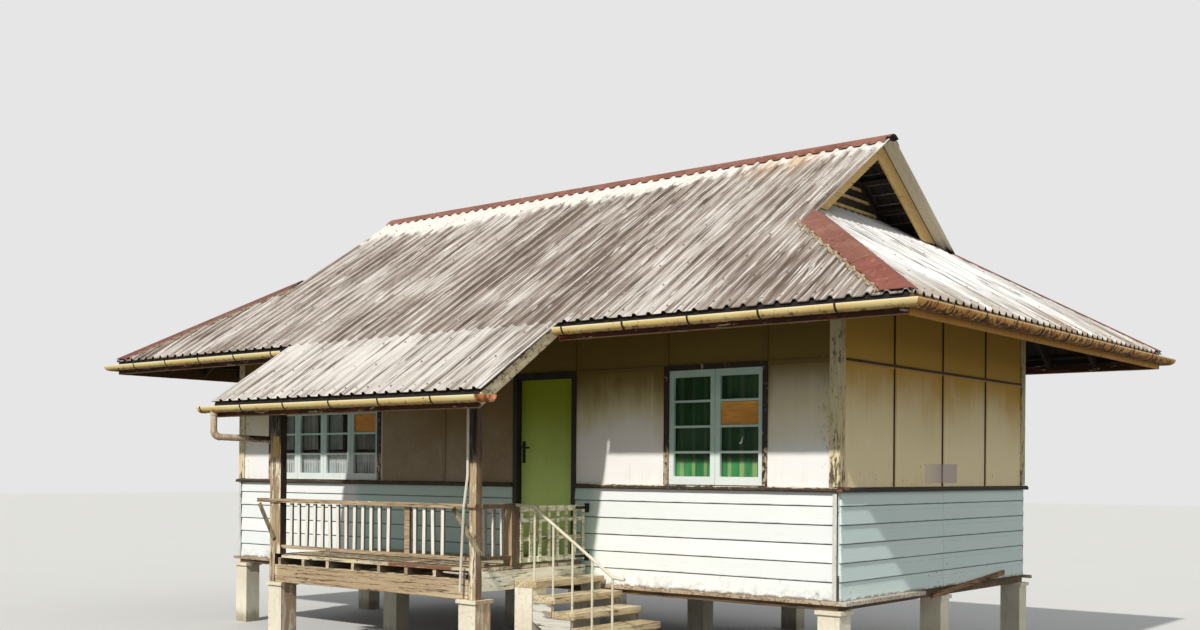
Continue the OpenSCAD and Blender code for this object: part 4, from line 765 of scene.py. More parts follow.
def end_fascia_recipe(place):
    broad = place.cloud(0.5, SOFT["Y"], 3.0)
    stain = place.cloud(0.05, (1, 1, 0.3), 5.0, 0.66, 45.0)
    # Painted shade: the inner faces of the end fascias are painted dark.
    inner = (place.x * place.facing("X")).over(-1.0, -3.0)
    colour = broad.over(0.35, 0.65).mix((226, 172, 84), (200, 146, 64)).coats(
        (stain.over(0.55, 0.66) * 0.8, (126, 72, 32)),
        (stain.over(0.66, 0.70), (60, 40, 28)),
        (inner * 0.9, (56, 41, 28)))
    return skin(colour, 0.75, stain, 0.002)


def rake_recipe(place):
    under_sheet = eave_z + (place.y - eave_y) * slope
    down = (under_sheet - place.z) / 0.14
    scab = place.cloud(0.045, (1, 0.3, 0.8), 5.0, 0.68, 47.0)
    mould = place.cloud(0.03, (1, 0.5, 0.6), 5.0, 0.7, 49.0)
    low = place.z.over(3.1, 2.85)
    colour = scab.over(0.40, 0.60).mix((222, 210, 178), (206, 190, 154)).coats(
        ((mould + down.over(0.6, 0.1) * 0.10 + low * 0.03).over(0.56, 0.64) * 0.9, (52, 44, 36)),
        (scab.over(0.60, 0.64) * 0.9, (120, 96, 66)),
        (mould.over(0.36, 0.30) * 0.7, (232, 226, 210)))
    return skin(colour, 0.8, scab + mould * 0.6, 0.004)


front_fascia = finish("flaking_front_fascia", front_fascia_recipe)
end_fascia = finish("tan_end_fascia", end_fascia_recipe)
rake_paint = finish("mouldy_side_board", rake_recipe)
print("fascia finishes", front_fascia.name, end_fascia.name, rake_paint.name)

# %% Belt, corners and foot boards
def belt_recipe(place):
    on_end = abs(place.x).over(side + 0.004, side + 0.010)
    grain = place.cloud(0.02, (0.1, 0.1, 1), 4.0, 0.65, 51.0)
    white = place.cloud(0.028, (0.35, 0.35, 1), 6.0, 0.7, 53.0)
    high = place.z.over(sill_z - 0.022, sill_z - 0.008)
    low = place.z.over(sill_z - 0.036, sill_z - 0.044)
    # Painted light: the white flakes show fully only on the sunlit front beyond the porch, and fewer
    # in the porch's shade.
    sunny = place.x.over(1.50, 1.72)
    corner = place.y.over(front + 0.22, front + 0.02) * white.over(0.46, 0.54)
    # Painted shade: on the end walls the belt is painted almost black.
    end = grain.over(0.40, 0.70).mix((28, 20, 13), (42, 31, 20)).coats(
        (white.over(0.66, 0.70) * 0.6, (130, 118, 100)),
        (corner * 0.8, (150, 104, 76)))
    colour = grain.over(0.35, 0.65).mix((86, 70, 54), (54, 42, 33)).coats(
        ((white + high * 0.17 - (1 - sunny) * 0.16).over(0.60, 0.65), (216, 204, 180)),
        ((white + low * 0.3).over(0.36, 0.30).most(low), (30, 24, 20)),
        (on_end, end))
    return skin(colour, grain.between(0.6, 0.9), white + grain * 0.5, 0.003)


def corner_recipe(place):
    """The boards over the belt: cream and speckled at the front, browner on the end walls."""
    grain = place.cloud(0.02, (1, 1, 0.08), 4.0, 0.65, 55.0)
    peel = place.cloud(0.05, (1, 1, 0.35), 6.0, 0.7, 57.0)
    low = place.z.over(2.75, 2.1)
    on_end = abs(place.facing("X")).over(0.6, 0.8)
    colour = grain.over(0.35, 0.7).mix((240, 226, 184), (220, 204, 160)).coats(
        (on_end * 0.5, (206, 178, 140)),
        (peel.over(0.56, 0.60) * 0.8, (162, 146, 118)),
        ((peel * 0.5 + grain * 0.5 + low * 0.06).over(0.56, 0.60) * 0.85, (66, 56, 46)),
        (peel.over(0.36, 0.32) * 0.7, (238, 230, 210)))
    return skin(colour, 0.8, peel + grain * 0.4, 0.003)


def stop_recipe(place):
    """The narrow stops that the lapped boards run up to: pale in front, black in their recess."""
    peel = place.cloud(0.04, (1, 1, 0.3), 6.0, 0.7, 59.0)
    aside = abs(place.facing("X")).over(0.4, 0.7)
    colour = peel.over(0.35, 0.65).mix((226, 228, 222), (206, 206, 198)).coats(
        (peel.over(0.60, 0.64) * 0.8, (120, 110, 94)),
        (aside * 0.9, (52, 44, 40)))
    return skin(colour, 0.75, peel, 0.003)


def foot_recipe(place):
    on_end = abs(place.x).over(side + 0.004, side + 0.010)
    pit = place.cloud(0.018, (0.5, 0.5, 1), 5.0, 0.72, 61.0)
    broad = place.cloud(0.2, (0.3, 0.3, 1), 4.0, 0.6, 63.0)
    colour = broad.over(0.35, 0.65).mix((204, 184, 158), (172, 148, 122)).coats(
        (on_end, broad.over(0.30, 0.6).mix((222, 216, 204), (188, 176, 158))),
        (pit.over(0.54, 0.60) * 0.8, (74, 62, 52)),
        (pit.over(0.42, 0.34) * 0.8, (226, 218, 204)))
    return skin(colour, 0.85, 1 - pit, 0.006)


belt_paint = finish("peeling_sill_belt", belt_recipe)
corner_paint = finish("speckled_corner_board", corner_recipe)
stop_paint = finish("corner_stop", stop_recipe)
foot_timber = finish("foot_board_timber", foot_recipe)
print("belt, corners and foot boards have their own finishes")

# %% [markdown]
# Wearing the edges
# A solid's edges are perfectly sharp, which no old board's are. For each piece of bare or painted
# timber the script copies the CAD mesh, joins its doubled corners, rounds the edges, cuts the faces
# into short lengths and pushes them in by a few millimetres of noise. It only ever pushes inwards,
# so the piece stays within the size that the CAD gives it. A sculpting brush would do the same by
# hand, but not the same way twice.

# %% Worn copies of the boards
def piece(name, mesh, material, body="house", smooth=True):
    """Turns mesh code's result into an object that rides on a body of the CAD model."""
    data = bpy.data.meshes.new(name)
    mesh.to_mesh(data)
    mesh.free()
    for one in material if isinstance(material, (list, tuple)) else [material]:
        data.materials.append(one)
    made = bpy.data.objects.new(name, data)
    bpy.context.scene.collection.objects.link(made)
    if smooth:
        data.polygons.foreach_set("use_smooth", [True] * len(data.polygons))
        data.set_sharp_from_angle(angle=math.radians(32))
    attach(made, body)
    return made


def round_edges(mesh, edge):
    """Rounds every edge where two faces meet at more than half a radian."""
    sharp = [e for e in mesh.edges if len(e.link_faces) == 2 and e.calc_face_angle(0) > 0.5]
    bmesh.ops.bevel(mesh, geom=sharp, offset=edge, segments=2, profile=0.6, affect="EDGES",
                    clamp_overlap=True)


def slice_along(mesh, axis, step):
    """Cuts right across a mesh at every step, so that it has corners to push."""
    low, high = spread(list(mesh.verts))
    i = "XYZ".index(axis)
    normal = Vector([float(k == i) for k in range(3)])
    count = int((high[i] - low[i]) / step)
    for k in range(1, count):
        point = normal * (low[i] + k * (high[i] - low[i]) / count + 0.0007)
        bmesh.ops.bisect_plane(mesh, geom=mesh.verts[:] + mesh.edges[:] + mesh.faces[:],
                               plane_co=point, plane_no=normal, dist=1e-4)


def wear(mesh, amount, size):
    """Pushes every corner inwards by up to an amount."""
    mesh.normal_update()
    moves = []
    for corner in mesh.verts:
        swell = 0.5 + 0.5 * noise.fractal(corner.co / size, 1.0, 2.0, 3)
        moves.append(corner.normal * (-amount * max(0.0, min(1.0, swell))))
    for corner, move in zip(mesh.verts, moves):
        corner.co += move


def longest(low, high):
    """The letter of the direction in which a board is longest."""
    return "XYZ"[max(range(3), key=lambda i: high[i] - low[i])]


def by_length(finishes):
    """Picks one of three finishes by the direction of a board's longest side."""
    return lambda low, high: finishes[longest(low, high)]


def worn(node, pick, edge=0.005, amount=0.004, size=0.12, cuts=(), loosen=None, body="house"):
    """A worn copy of a node that stands for it. pick is its finish, or gives each loose part one."""
    mesh = solid_copy(node)
    for axis, step in cuts:
        slice_along(mesh, axis, step)
    round_edges(mesh, edge)
    used = []
    for part in islands(mesh):
        low, high = spread(part)
        material = pick(low, high) if callable(pick) else pick
        if material not in used:
            used.append(material)
        for corner in part:
            for face in corner.link_faces:
                face.material_index = used.index(material)
        if loosen:
            loosen(part, low, high)
    wear(mesh, amount, size)
    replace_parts(piece(node + "_worn", mesh, used, body), node)


print("helpers for worn copies ready")

# %% Leaning and settling
chance = random.Random(7)


def lean_balusters(part, low, high):
    """Old balusters have worked loose at the nails and lean a little."""
    turn = math.radians(chance.uniform(-1.3, 1.3))
    drop = chance.uniform(0, 0.003)
    spin = Matrix.Rotation(turn, 3, "Y")
    foot = Vector(((low.x + high.x) / 2, (low.y + high.y) / 2, low.z))
    for corner in part:
        corner.co = foot + spin @ (corner.co - foot)
        corner.co.z -= drop


def settle_boards(part, low, high):
    """Each deck board has shrunk and sunk by its own few millimetres, and its front edge is eaten."""
    drop, slide = chance.uniform(0, 0.006), chance.uniform(0, 0.02)
    outer = low.y < deck_edge + 0.01
    for corner in part:
        corner.co.z -= drop
        if corner.co.x > (low.x + high.x) / 2:
            corner.co.x -= slide
        if outer and corner.co.y < low.y + 0.02:
            corner.co.y += 0.022 * (0.5 + noise.fractal(corner.co / 0.11, 1.0, 2.0, 3))


print("the draws of leaning and settling start from seed 7")

# %% Which finish a board gets
def sunny_end(finishes):
    """As by_length, but the timber along the porch's right end is pale with paint."""
    def pick(low, high):
        at_end = high.x > porch_right - 0.025 and high.y - low.y > 0.8
        return end_timber["Y"] if at_end else finishes[longest(low, high)]
    return pick


def corner_pick(low, high):
    """Below the belt stand the narrow stops, above it the wider corner boards."""
    return stop_paint if high.z < sill_z else corner_paint


def loose_pick(low, high):
    """The two struts stand aslant and have gone greyer than the plank at the end wall."""
    return strut_timber["Z"] if high.z - low.z > 0.2 and low.y < front - 1.0 else plank_timber["Y"]


def beam_pick(low, high):
    """The plate under the porch roof is painted dark brown as shade."""
    return brown_timber["X"] if low.z > 2.0 else sunny_end(beam_timber)(low, high)


def fascia_pick(low, high):
    if high.y - low.y > high.x - low.x:
        return rake_paint if abs(low.x) < eave_x - 0.5 else end_fascia
    return front_fascia


print("boards that reach", round(porch_right - 0.025, 3), "count as the porch's right end")

# %% Wear the boards
worn("porch_deck", sunny_end(grey_timber), 0.006, 0.006, 0.1, (("X", 0.07),), settle_boards)
worn("porch_beams", beam_pick, 0.012, 0.012, 0.16, (("X", 0.07), ("Z", 0.05)))
worn("porch_joists", sunny_end(grey_timber), 0.004, 0.006, 0.1, (("Y", 0.3),))
worn("porch_posts", by_length(post_timber), 0.007, 0.005, 0.12, (("Z", 0.08),))
worn("porch_rails", by_length(rail_timber), 0.006, 0.005, 0.1, (("X", 0.08), ("Y", 0.1)))
worn("porch_balusters", by_length(baluster_timber), 0.004, 0.003, 0.08, (("Z", 0.09),), lean_balusters)
worn("stair_treads", by_length(step_timber), 0.009, 0.007, 0.09, (("Y", 0.09), ("X", 0.1)))
worn("stair_strings", by_length(white_timber), 0.006, 0.005, 0.1, (("X", 0.12), ("Z", 0.12)))
worn("gate", by_length(gate_timber), 0.003, 0.003, 0.07, (("Z", 0.1), ("Y", 0.1)), body="gate")
worn("loose_boards", loose_pick, 0.004, 0.005, 0.07, (("Y", 0.1), ("Z", 0.08)))
worn("bargeboards", by_length(cream_timber), 0.003, 0.002, 0.15, (("Y", 0.15),))
worn("corner_boards", corner_pick, 0.003, 0.002, 0.1, (("Z", 0.12),))
worn("sill_belt", belt_paint, 0.004, 0.003, 0.1, (("X", 0.12), ("Y", 0.12)))
worn("fascias", fascia_pick, 0.003, 0.003, 0.1, (("X", 0.15), ("Y", 0.08)))
worn("foot_boards", foot_timber, 0.005, 0.006, 0.06, (("X", 0.06), ("Y", 0.06)))
print("worn pieces", len([o for o in bpy.data.objects if "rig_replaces" in o]))

# %% [markdown]
# Ragged strips over the hips
# The hip strips are thin plates, and their long edges have rusted away in bites. Pushing corners
# along their normals would only thin such a plate, so here the plate is cut into short lengths and
# its outer edge drawn in towards the hip, and up the slope by as much as the slope rises.

# %% Hip strips
def hip_reach(corner):
    """How far out from the hip a corner lies, measured level: below 0 on the long slopes."""
    return ((abs(corner.x) - eave_x) - (abs(corner.y - middle_y) - half_depth)) / math.sqrt(2)


mesh = solid_copy("hip_flashings")
for axis in "XY":
    slice_along(mesh, axis, 0.045)
for part in islands(mesh):
    reach = [hip_reach(corner.co) for corner in part]
    outer = max(reach, key=abs)
    for corner, out in zip(part, reach):
        if abs(out) < abs(outer) - 0.012:
            continue
        along = (abs(corner.co.x) + abs(corner.co.y - middle_y)) / 2
        rag = noise.fractal(Vector((along / 0.09, corner.co.x > 0, outer)), 1.0, 2.0, 4)
        step = 0.034 * max(0.0, 0.45 + rag) / math.sqrt(2)
        toward = 1 if outer < 0 else -1
        corner.co.x += math.copysign(step, corner.co.x) * toward
        corner.co.y -= math.copysign(step, corner.co.y - middle_y) * toward
        corner.co.z += step * slope
hips = piece("hip_flashings_worn", mesh, rust, smooth=False)
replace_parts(hips, "hip_flashings")
print("hip strips", len(hips.data.polygons), "faces")

# %% [markdown]
# The ridge cap's wings and the putty under the strips
# The ridge cap reaches further down than the solid cap does, as a thin wing beaten down over the
# ribs. The strips on the hips lie on the tops of the ribs, and the hollows under their edges were
# filled with putty, which has dried cream and ragged. Both follow the ribs, so one small function
# gives the height of the sheets at any place, and the meshes are drawn against it.

# %% Wings of the ridge cap
def rib_height(across):
    """How high the sheets stand over their underside, measured upright."""
    off = abs(across / rib_gap - round(across / rib_gap)) * rib_gap
    return (0.008 + 0.026 * max(0.0, min(1.0, (0.032 - off) / 0.019))) / math.cos(tilt)


def ribbon(mesh, rings):
    """Joins a row of small closed sections, each a list of points, into one solid strip."""
    loops = [[mesh.verts.new(point) for point in ring] for ring in rings]
    size = len(loops[0])
    for one, two in zip(loops, loops[1:]):
        for k in range(size):
            mesh.faces.new((one[k], one[(k + 1) % size], two[(k + 1) % size], two[k]))
    mesh.faces.new(loops[0][::-1])
    mesh.faces.new(loops[-1])


rib_top = 0.034 / math.cos(tilt)
wing_thick = 0.003
mesh = bmesh.new()
for turn_y in (-1, 1):
    rings = []
    for k in range(int(2 * (verge_x - 0.01) / 0.017) + 1):
        x = -verge_x + 0.01 + 0.017 * k
        bite = 0.014 * noise.fractal(Vector((x / 0.08, turn_y * 5.0, 0)), 1.0, 2.0, 3)
        spots = []
        for out in (0.1035, 0.150, 0.185, 0.204 + bite):
            flat = eave_z + rib_top + 0.0008 + (half_depth - out) * slope
            laid = eave_z + (half_depth - out) * slope + rib_height(x) + 0.0008
            spots.append((out, flat if out < 0.19 else laid + 0.25 * (flat - laid)))
        ring = [Vector((x, middle_y + turn_y * out, z)) for out, z in spots]
        ring += [Vector((x, middle_y + turn_y * out, z + wing_thick)) for out, z in reversed(spots)]
        rings.append(ring)
    ribbon(mesh, rings)
bmesh.ops.recalc_face_normals(mesh, faces=mesh.faces)
wings = piece("ridge_wings", mesh, rust)
print("ridge wings", len(wings.data.polygons), "faces")

# %% Putty along the hips
flashing = nodes["hip_flashings"].data.vertices
strip_edge = max(abs(hip_reach(corner.co)) for corner in flashing) / math.sqrt(2)
hip_top = eave_x - verge_x - 0.03
mesh = bmesh.new()
for sign_x in (-1, 1):
    for sign_y in (-1, 1):
        for toward in (-1, 1):
            rings = []
            for k in range(int((hip_top - strip_edge - 0.03) / 0.014)):
                t = strip_edge + 0.03 + 0.014 * k
                spot = Vector((t / 0.05, sign_x * 3 + sign_y, toward * 4.0))
                grow = 0.012 * max(0.0, 0.5 + noise.fractal(spot, 1.0, 2.0, 3))
                ring = []
                for shift, lifted in ((-0.020, False), (-0.008, True), (-0.004 + grow, False)):
                    a = strip_edge + shift
                    level_x = eave_x - t + (a if toward > 0 else -a)
                    level_y = half_depth - t + (-a if toward > 0 else a)
                    laid = rib_height(level_y * sign_y if toward > 0 else level_x * sign_x)
                    base = eave_z + (t - a) * slope
                    high = rib_top - 0.0004 if lifted else laid + 0.0006
                    ring.append(Vector((sign_x * level_x, middle_y + sign_y * level_y, base + high)))
                rings.append(ring)
            ribbon(mesh, rings)
bmesh.ops.recalc_face_normals(mesh, faces=mesh.faces)
print("strip edge", round(strip_edge, 3), "hips end at", round(hip_top, 3), "along")

# %% Putty finish
def putty_recipe(place):
    crumb = place.cloud(0.02, detail=5.0, rough=0.7, shift=17.0)
    long_side = (eave_x - abs(place.x)) - (half_depth - abs(place.y - middle_y))
    colour = crumb.over(0.35, 0.6).mix((206, 190, 158), (150, 130, 102)).coats(
        (long_side.over(0.05, -0.05) * 0.7, (216, 208, 196)),
        (place.x.over(0.5, -0.5) * 0.6, (122, 106, 92)),
        (crumb.over(0.54, 0.60) * 0.85, (76, 58, 42)))
    return skin(colour, 0.9, crumb, 0.004)


putty = piece("hip_putty", mesh, finish("dried_putty", putty_recipe))
print("putty", len(putty.data.polygons), "faces")

# %% [markdown]
# Finishes for the rest of the solids
# Rafters and battens are seen only from below, the window joinery is painted, and the piers are
# cast. They keep their CAD meshes and get finishes of the same kind.

# %% Roof timbers and gablets
dress(brown_timber["Y"], "rafters")
dress(brown_timber["X"], "hip_rafters", "roof_battens")
# The bearers and joists take the dark timber that is painted as shade.
dress(dark_bearer["X"], "bearers")
dress(dark_bearer["Y"], "floor_joists")
dress(floor_timber["X"], "floor")

infill_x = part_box("gablet_infill")[1].x - 0.030


def infill_recipe(place):
    outward = abs(place.x)
    slat = outward.over(infill_x + 0.002, infill_x + 0.005)
    board = place.y.dice(0.12)
    join = place.y.off(0.12).over(0.05, 0.02)
    stain = place.cloud(0.12, (1, 1, 0.6), 5.0, 0.65, 71.0)
    low = place.z.over(5.06, 4.98)
    # Painted shade: the boards behind the slats are painted dark brown as the dark space inside the
    # gablet; the low grey panel, its stain and the dark joints are their own.
    back = board.mix((56, 46, 37), (40, 33, 27)).coats(
        (low, (168, 166, 150)),
        (stain.over(0.5, 0.62) * low * 0.9, (88, 62, 44)),
        (join, (24, 20, 17)))
    front_face = stain.over(0.35, 0.7).mix((226, 196, 132), (190, 158, 100))
    return skin(slat.mix(back, front_face), 0.8, stain - join, 0.004)


dress(finish("gablet_boards", infill_recipe), "gablet_infill")
print("slats of the gablets stand out past", round(infill_x, 3))

# %% Paint of the windows and the door
def sash_recipe(place):
    broad = place.cloud(0.3, detail=3.0)
    chip = place.cloud(0.03, (1, 1, 0.5), 5.0, 0.7)
    colour = broad.over(0.3, 0.7).mix((206, 232, 220), (186, 216, 204)).coats(
        # Painted light: below the eaves' shadow line the sashes are painted whiter, as the sunlit
        # part.
        (place.z.over(2.40, 2.30) * 0.7, (246, 249, 247)),
        (chip.over(0.58, 0.75) * place.z.over(2.2, 2.5).between(0.1, 0.4), (156, 166, 158)),
        (chip.over(0.69, 0.72) * 0.9, (118, 104, 86)))
    return skin(colour, chip.between(0.4, 0.7), chip, 0.0012)


def door_recipe(place):
    height = place.z - floor_z
    broad = place.cloud(0.6, detail=3.0)
    rub = place.cloud(0.04, (1, 1, 0.2), 4.0, 0.65)
    dirt = height.over(0.5, 0.0) * rub.over(0.35, 0.6)
    # Painted shade: the door is painted darker and more olive towards the top, under the porch roof.
    colour = (height + broad * 0.6 - 0.3).over(0.3, 1.9).mix((218, 248, 144), (158, 174, 24)).coats(
        (rub.over(0.55, 0.8) * 0.35, (116, 132, 62)),
        (dirt * 0.5, (112, 112, 80)))
    return skin(colour, rub.between(0.32, 0.55), rub, 0.0008)


print("pale and lime paint ready")

# %% Dark paint and iron
def black_recipe(place):
    broad = place.cloud(0.15, (1, 1, 0.3), 4.0)
    chip = place.cloud(0.03, (1, 1, 0.4), 5.0, 0.7)
    colour = broad.over(0.3, 0.7).mix((34, 30, 27), (50, 44, 38))
    colour = chip.over(0.66, 0.72).mix(colour, (104, 84, 64))
    return skin(colour, chip.between(0.45, 0.75), chip, 0.0015)


def iron_recipe(place):
    broad = place.cloud(0.08, detail=4.0)
    fleck = place.cloud(0.012, detail=4.0, rough=0.7)
    colour = broad.over(0.35, 0.7).mix((38, 35, 33), (60, 50, 44))
    colour = (fleck.over(0.58, 0.72) * 0.8).mix(colour, (112, 70, 46))
    return skin(colour, fleck.between(0.45, 0.8), fleck, 0.001, Metallic=fleck.over(0.62, 0.50) * 0.5)


def frame_recipe(place):
    """Nearly black, with the paint scaling off down to grey wood below the eaves' shadow line, as wear
    and as painted light.
    """
    grain = place.cloud(0.02, (1, 1, 0.1), 4.0, 0.65, 91.0)
    scale = place.cloud(0.035, (1, 1, 0.45), 6.0, 0.7, 93.0)
    sunny = place.z.over(2.44, 2.34)
    colour = grain.over(0.35, 0.7).mix((36, 26, 21), (58, 42, 33)).coats(
        ((scale + sunny * 0.14).over(0.60, 0.64) * 0.9, (196, 176, 148)),
        ((scale + sunny * 0.10).over(0.68, 0.72) * 0.8, (128, 84, 58)))
    return skin(colour, grain.between(0.55, 0.85), grain + scale, 0.002)


dress(finish("scaling_frame_paint", frame_recipe), "window_frames")
dress(finish("pale_sash_paint", sash_recipe), "window_sashes")
dress(finish("lime_door_paint", door_recipe, **{"Coat Roughness": 0.2}), "door_leaf")
dress(finish("black_frame_paint", black_recipe), "door_frame")
dress(finish("black_iron", iron_recipe),
      "door_handle", "door_hinges", "door_leaf_hinges", "gate_straps", "gate_pins", "gutter_straps")
print("joinery finishes done")

# %% [markdown]
# Gutters and pipes
# One trough runs round the whole roof, but each side has aged its own way. The front is still cream,
# the ends are stained orange by rust, and the right end of the porch gutter has rotted to bare orange
# steel. A measure down from the rim carries a painted highlight near the rim, a belly darkened by dirt
# and by painted shade, and a painted shadow line along the bottom.

# %% Gutter finish
gutter_r = 0.075


def gutter_recipe(place):
    porch = place.y.over(front - 1.75, front - 1.80)
    down = (porch.between(gutter_rim, porch_rim) - place.z) / gutter_r
    broad = place.cloud(0.5, detail=3.0)
    run = place.cloud(0.05, (1, 1, 0.25), 5.0, 0.66)
    speck = place.cloud(0.02, detail=4.0, rough=0.7, shift=3.0)
    belly_dirt_and_shade = (down + (run - 0.5) * 0.5).over(0.55, 0.90)
    drips = run.over(0.56, 0.61) * down.over(0.40, 0.75)
    aside = abs(place.facing("X")) - abs(place.facing("Y"))
    on_end = abs(place.x).over(eave_x - 0.16, eave_x - 0.15) * aside.over(-0.03, 0.03) * (1 - porch)
    rusty = broad.over(0.35, 0.65).mix((244, 186, 92), (212, 142, 56)).coats(
        # Painted highlight: the rusted ends are paler near the rim.
        (down.over(0.24, 0.05) * 0.85, (250, 226, 174)),
        ((run + down * 0.16).over(0.58, 0.62) * 0.95, (78, 36, 14)),
        ((speck + down * 0.10).over(0.66, 0.72), (48, 34, 26)))
    rotten = run.over(0.40, 0.62).mix((206, 140, 86), (126, 66, 36)).coats(
        (speck.over(0.60, 0.68), (62, 36, 26)))
    # Painted light and shade: paler near the rim as a painted highlight, darker in the belly as dirt
    # and painted shade, and a dark line along the bottom as painted shadow.
    colour = broad.over(0.3, 0.7).mix((250, 228, 162), (240, 210, 136)).coats(
        (down.over(0.30, 0.02) * 0.85, (253, 244, 206)),
        (belly_dirt_and_shade * 0.75, (196, 152, 78)),
        (drips * 0.75, (112, 68, 34)),
        ((down + (run - 0.5) * 0.3).over(0.93, 0.99), (46, 34, 26)),
        ((run + speck).over(1.20, 1.28) * 0.9, (120, 74, 44)),
        (on_end, rusty),
        (porch * place.x.over(2.135, 2.165), rotten),
        (place.facing("Z").over(0.5, 0.8) * down.over(0.3, 0.6), (96, 74, 52)))
    return skin(colour, run.between(0.4, 0.75), run * 0.6 + speck * 0.4, 0.0015)


dress(finish("cream_gutter_paint", gutter_recipe), "gutters")
print("gutter rim", round(gutter_rim, 3), "porch rim", round(porch_rim, 3))

# %% Pipe finishes
def plastic_recipe(place):
    broad = place.cloud(0.25, (1, 1, 0.4), 4.0)
    dirt = place.cloud(0.03, (1, 1, 0.3), 4.0, 0.65)
    scale = place.cloud(0.03, detail=5.0, rough=0.7, shift=2.0)
    broken = place.x.over(-1.4, -1.5)
    rusted = (place.y + (scale - 0.5) * 0.3).over(front - 2.10, front - 2.06) * broken
    steel = scale.over(0.38, 0.62).mix((98, 56, 36), (52, 34, 26))
    low = place.z.over(2.492, 2.480) * rusted
    steel = (low * scale.over(0.45, 0.55)).mix(steel, (206, 196, 180))
    colour = broad.over(0.35, 0.7).mix((228, 224, 210), (208, 200, 180)).coats(
        (dirt.over(0.52, 0.75) * 0.6, (146, 128, 100)),
        (broken * dirt.over(0.30, 0.60) * 0.85, (190, 146, 98)),
        (rusted, steel))
    return skin(colour, dirt.between(0.35, 0.6), dirt, 0.0006)


def ivory_recipe(place):
    broad = place.cloud(0.2, detail=3.0)
    chip = place.cloud(0.02, detail=5.0, rough=0.7)
    colour = broad.over(0.3, 0.7).mix((234, 228, 204), (218, 208, 182))
    colour = (chip.over(0.60, 0.66) * 0.9).mix(colour, (128, 92, 62))
    return skin(colour, chip.between(0.35, 0.7), chip, 0.001)


dress(finish("white_pipe", plastic_recipe), "downpipes")
dress(finish("ivory_pipe_paint", ivory_recipe), "stair_handrail")
print("pipes painted")

# %% Glass and piers
def glass_recipe(place):
    dust = place.cloud(0.12, (1, 1, 0.5), 5.0, 0.6)
    film = dust.over(0.45, 0.85)
    colour = film.mix((18, 28, 26), (74, 86, 80))
    return skin(colour, film.between(0.04, 0.25), Alpha=film.between(0.10, 0.22))


def pier_recipe(place):
    height = place.z
    broad = place.cloud(0.5, detail=3.0)
    drip = place.cloud(0.05, (1, 1, 0.14), 5.0, 0.65)
    pit = place.cloud(0.02, detail=5.0, rough=0.7)
    # Painted shade, streaked like stains: the porch piers' faces towards the end wall are painted
    # tan-brown.
    brown = place.facing("X").over(0.5, 0.8) * place.y.over(front - 1.4, front - 1.6)
    soil = height.over(0.34, 0.02) * 0.5 + drip * 0.6
    colour = broad.over(0.3, 0.7).mix((252, 246, 226), (238, 229, 206)).coats(
        (drip.over(0.52, 0.76) * 0.4, (178, 164, 138)),
        (brown * drip.over(0.32, 0.52) * 0.8, (176, 140, 104)),
        (soil.over(0.46, 0.88) * 0.7, (136, 122, 96)),
        (pit.over(0.64, 0.72) * 0.7, (96, 90, 76)))
    return skin(colour, pit.between(0.75, 0.95), 1 - pit.over(0.5, 0.8) + broad, 0.005)


dress(finish("window_glass", glass_recipe, **{"Specular IOR Level": 0.25}), "window_glass")
dress(finish("painted_concrete", pier_recipe), "house_piers", "porch_piers")
print("finishes in all", len(bpy.data.materials))

# %% [markdown]
# Curtains
# Behind the right window hangs a green striped curtain, behind the left one greyish curtains with
# gaps between them and short lace ones below. A curtain's cloth keeps its size when it is gathered,
# so each is drawn as a wavy line whose length is measured and printed as the flat cloth's width.
# A simulation would add little at this distance, so the folds are plain sums of waves.

# %% Cloth finishes
cloth_y = front + 0.070


def cloth_recipe(pale, deep, stripe, step, upper, upper_shade):
    def recipe(place):
        weave = place.cloud(0.0025, (1, 1, 1), 2.0)
        broad = place.cloud(0.25, (1, 1, 0.3), 3.0)
        # Painted shade: above the eaves' shadow line the cloth takes a darker upper colour.
        colour = broad.over(0.3, 0.7).mix(pale, deep).coats(
            (place.x.off(step).over(0.20, 0.12) * 0.8, stripe),
            (place.z.over(2.23, 2.27) * upper_shade, upper))
        return skin(colour, 0.9, weave, 0.0006)
    return recipe


green_cloth = finish("green_striped_cloth", cloth_recipe(
    (92, 190, 116), (46, 138, 76), (186, 214, 140), 0.145, (28, 60, 36), 0.82))
grey_cloth = finish("grey_curtain_cloth", cloth_recipe(
    (186, 202, 196), (104, 124, 120), (176, 152, 116), 0.09, (60, 72, 72), 0.10))
lace_cloth = finish("white_lace", cloth_recipe(
    (248, 250, 248), (182, 200, 196), (140, 156, 150), 0.05, (252, 253, 252), 0.8))
print("three cloths")

# %% Hang the curtains
def curtain(name, x0, x1, top, foot, material, fold, sway, phase, ruffle=0.0):
    """A gathered cloth between two x and two heights, its folds deeper towards the foot."""
    count, rows = int((x1 - x0) / 0.007), 16
    mesh = bmesh.new()
    grid = []
    for row in range(rows + 1):
        fall = row / rows
        z = top + (foot - top) * fall
        line = []
        for k in range(count + 1):
            x = x0 + (x1 - x0) * k / count
            wave = math.sin(math.tau * x / fold + phase + 0.5 * math.sin(x * 7 + phase))
            fine = math.sin(math.tau * x / (fold * 0.37) + 2 * phase)
            y = cloth_y + sway * (0.55 + 0.45 * fall) * (0.75 * wave + 0.25 * fine)
            lift = ruffle * abs(math.sin(math.pi * x / (fold * 1.6))) * (1 - fall) ** 2
            line.append(mesh.verts.new((x, y, z - lift)))
        grid.append(line)
    for upper, lower in zip(grid, grid[1:]):
        for k in range(count):
            mesh.faces.new((upper[k], upper[k + 1], lower[k + 1], lower[k]))
    area = sum(face.calc_area() for face in mesh.faces)
    made = piece(name, mesh, material)
    flat = (round(area / (top - foot), 3), round(top - foot, 3))
    print(name, "flat cloth", flat)


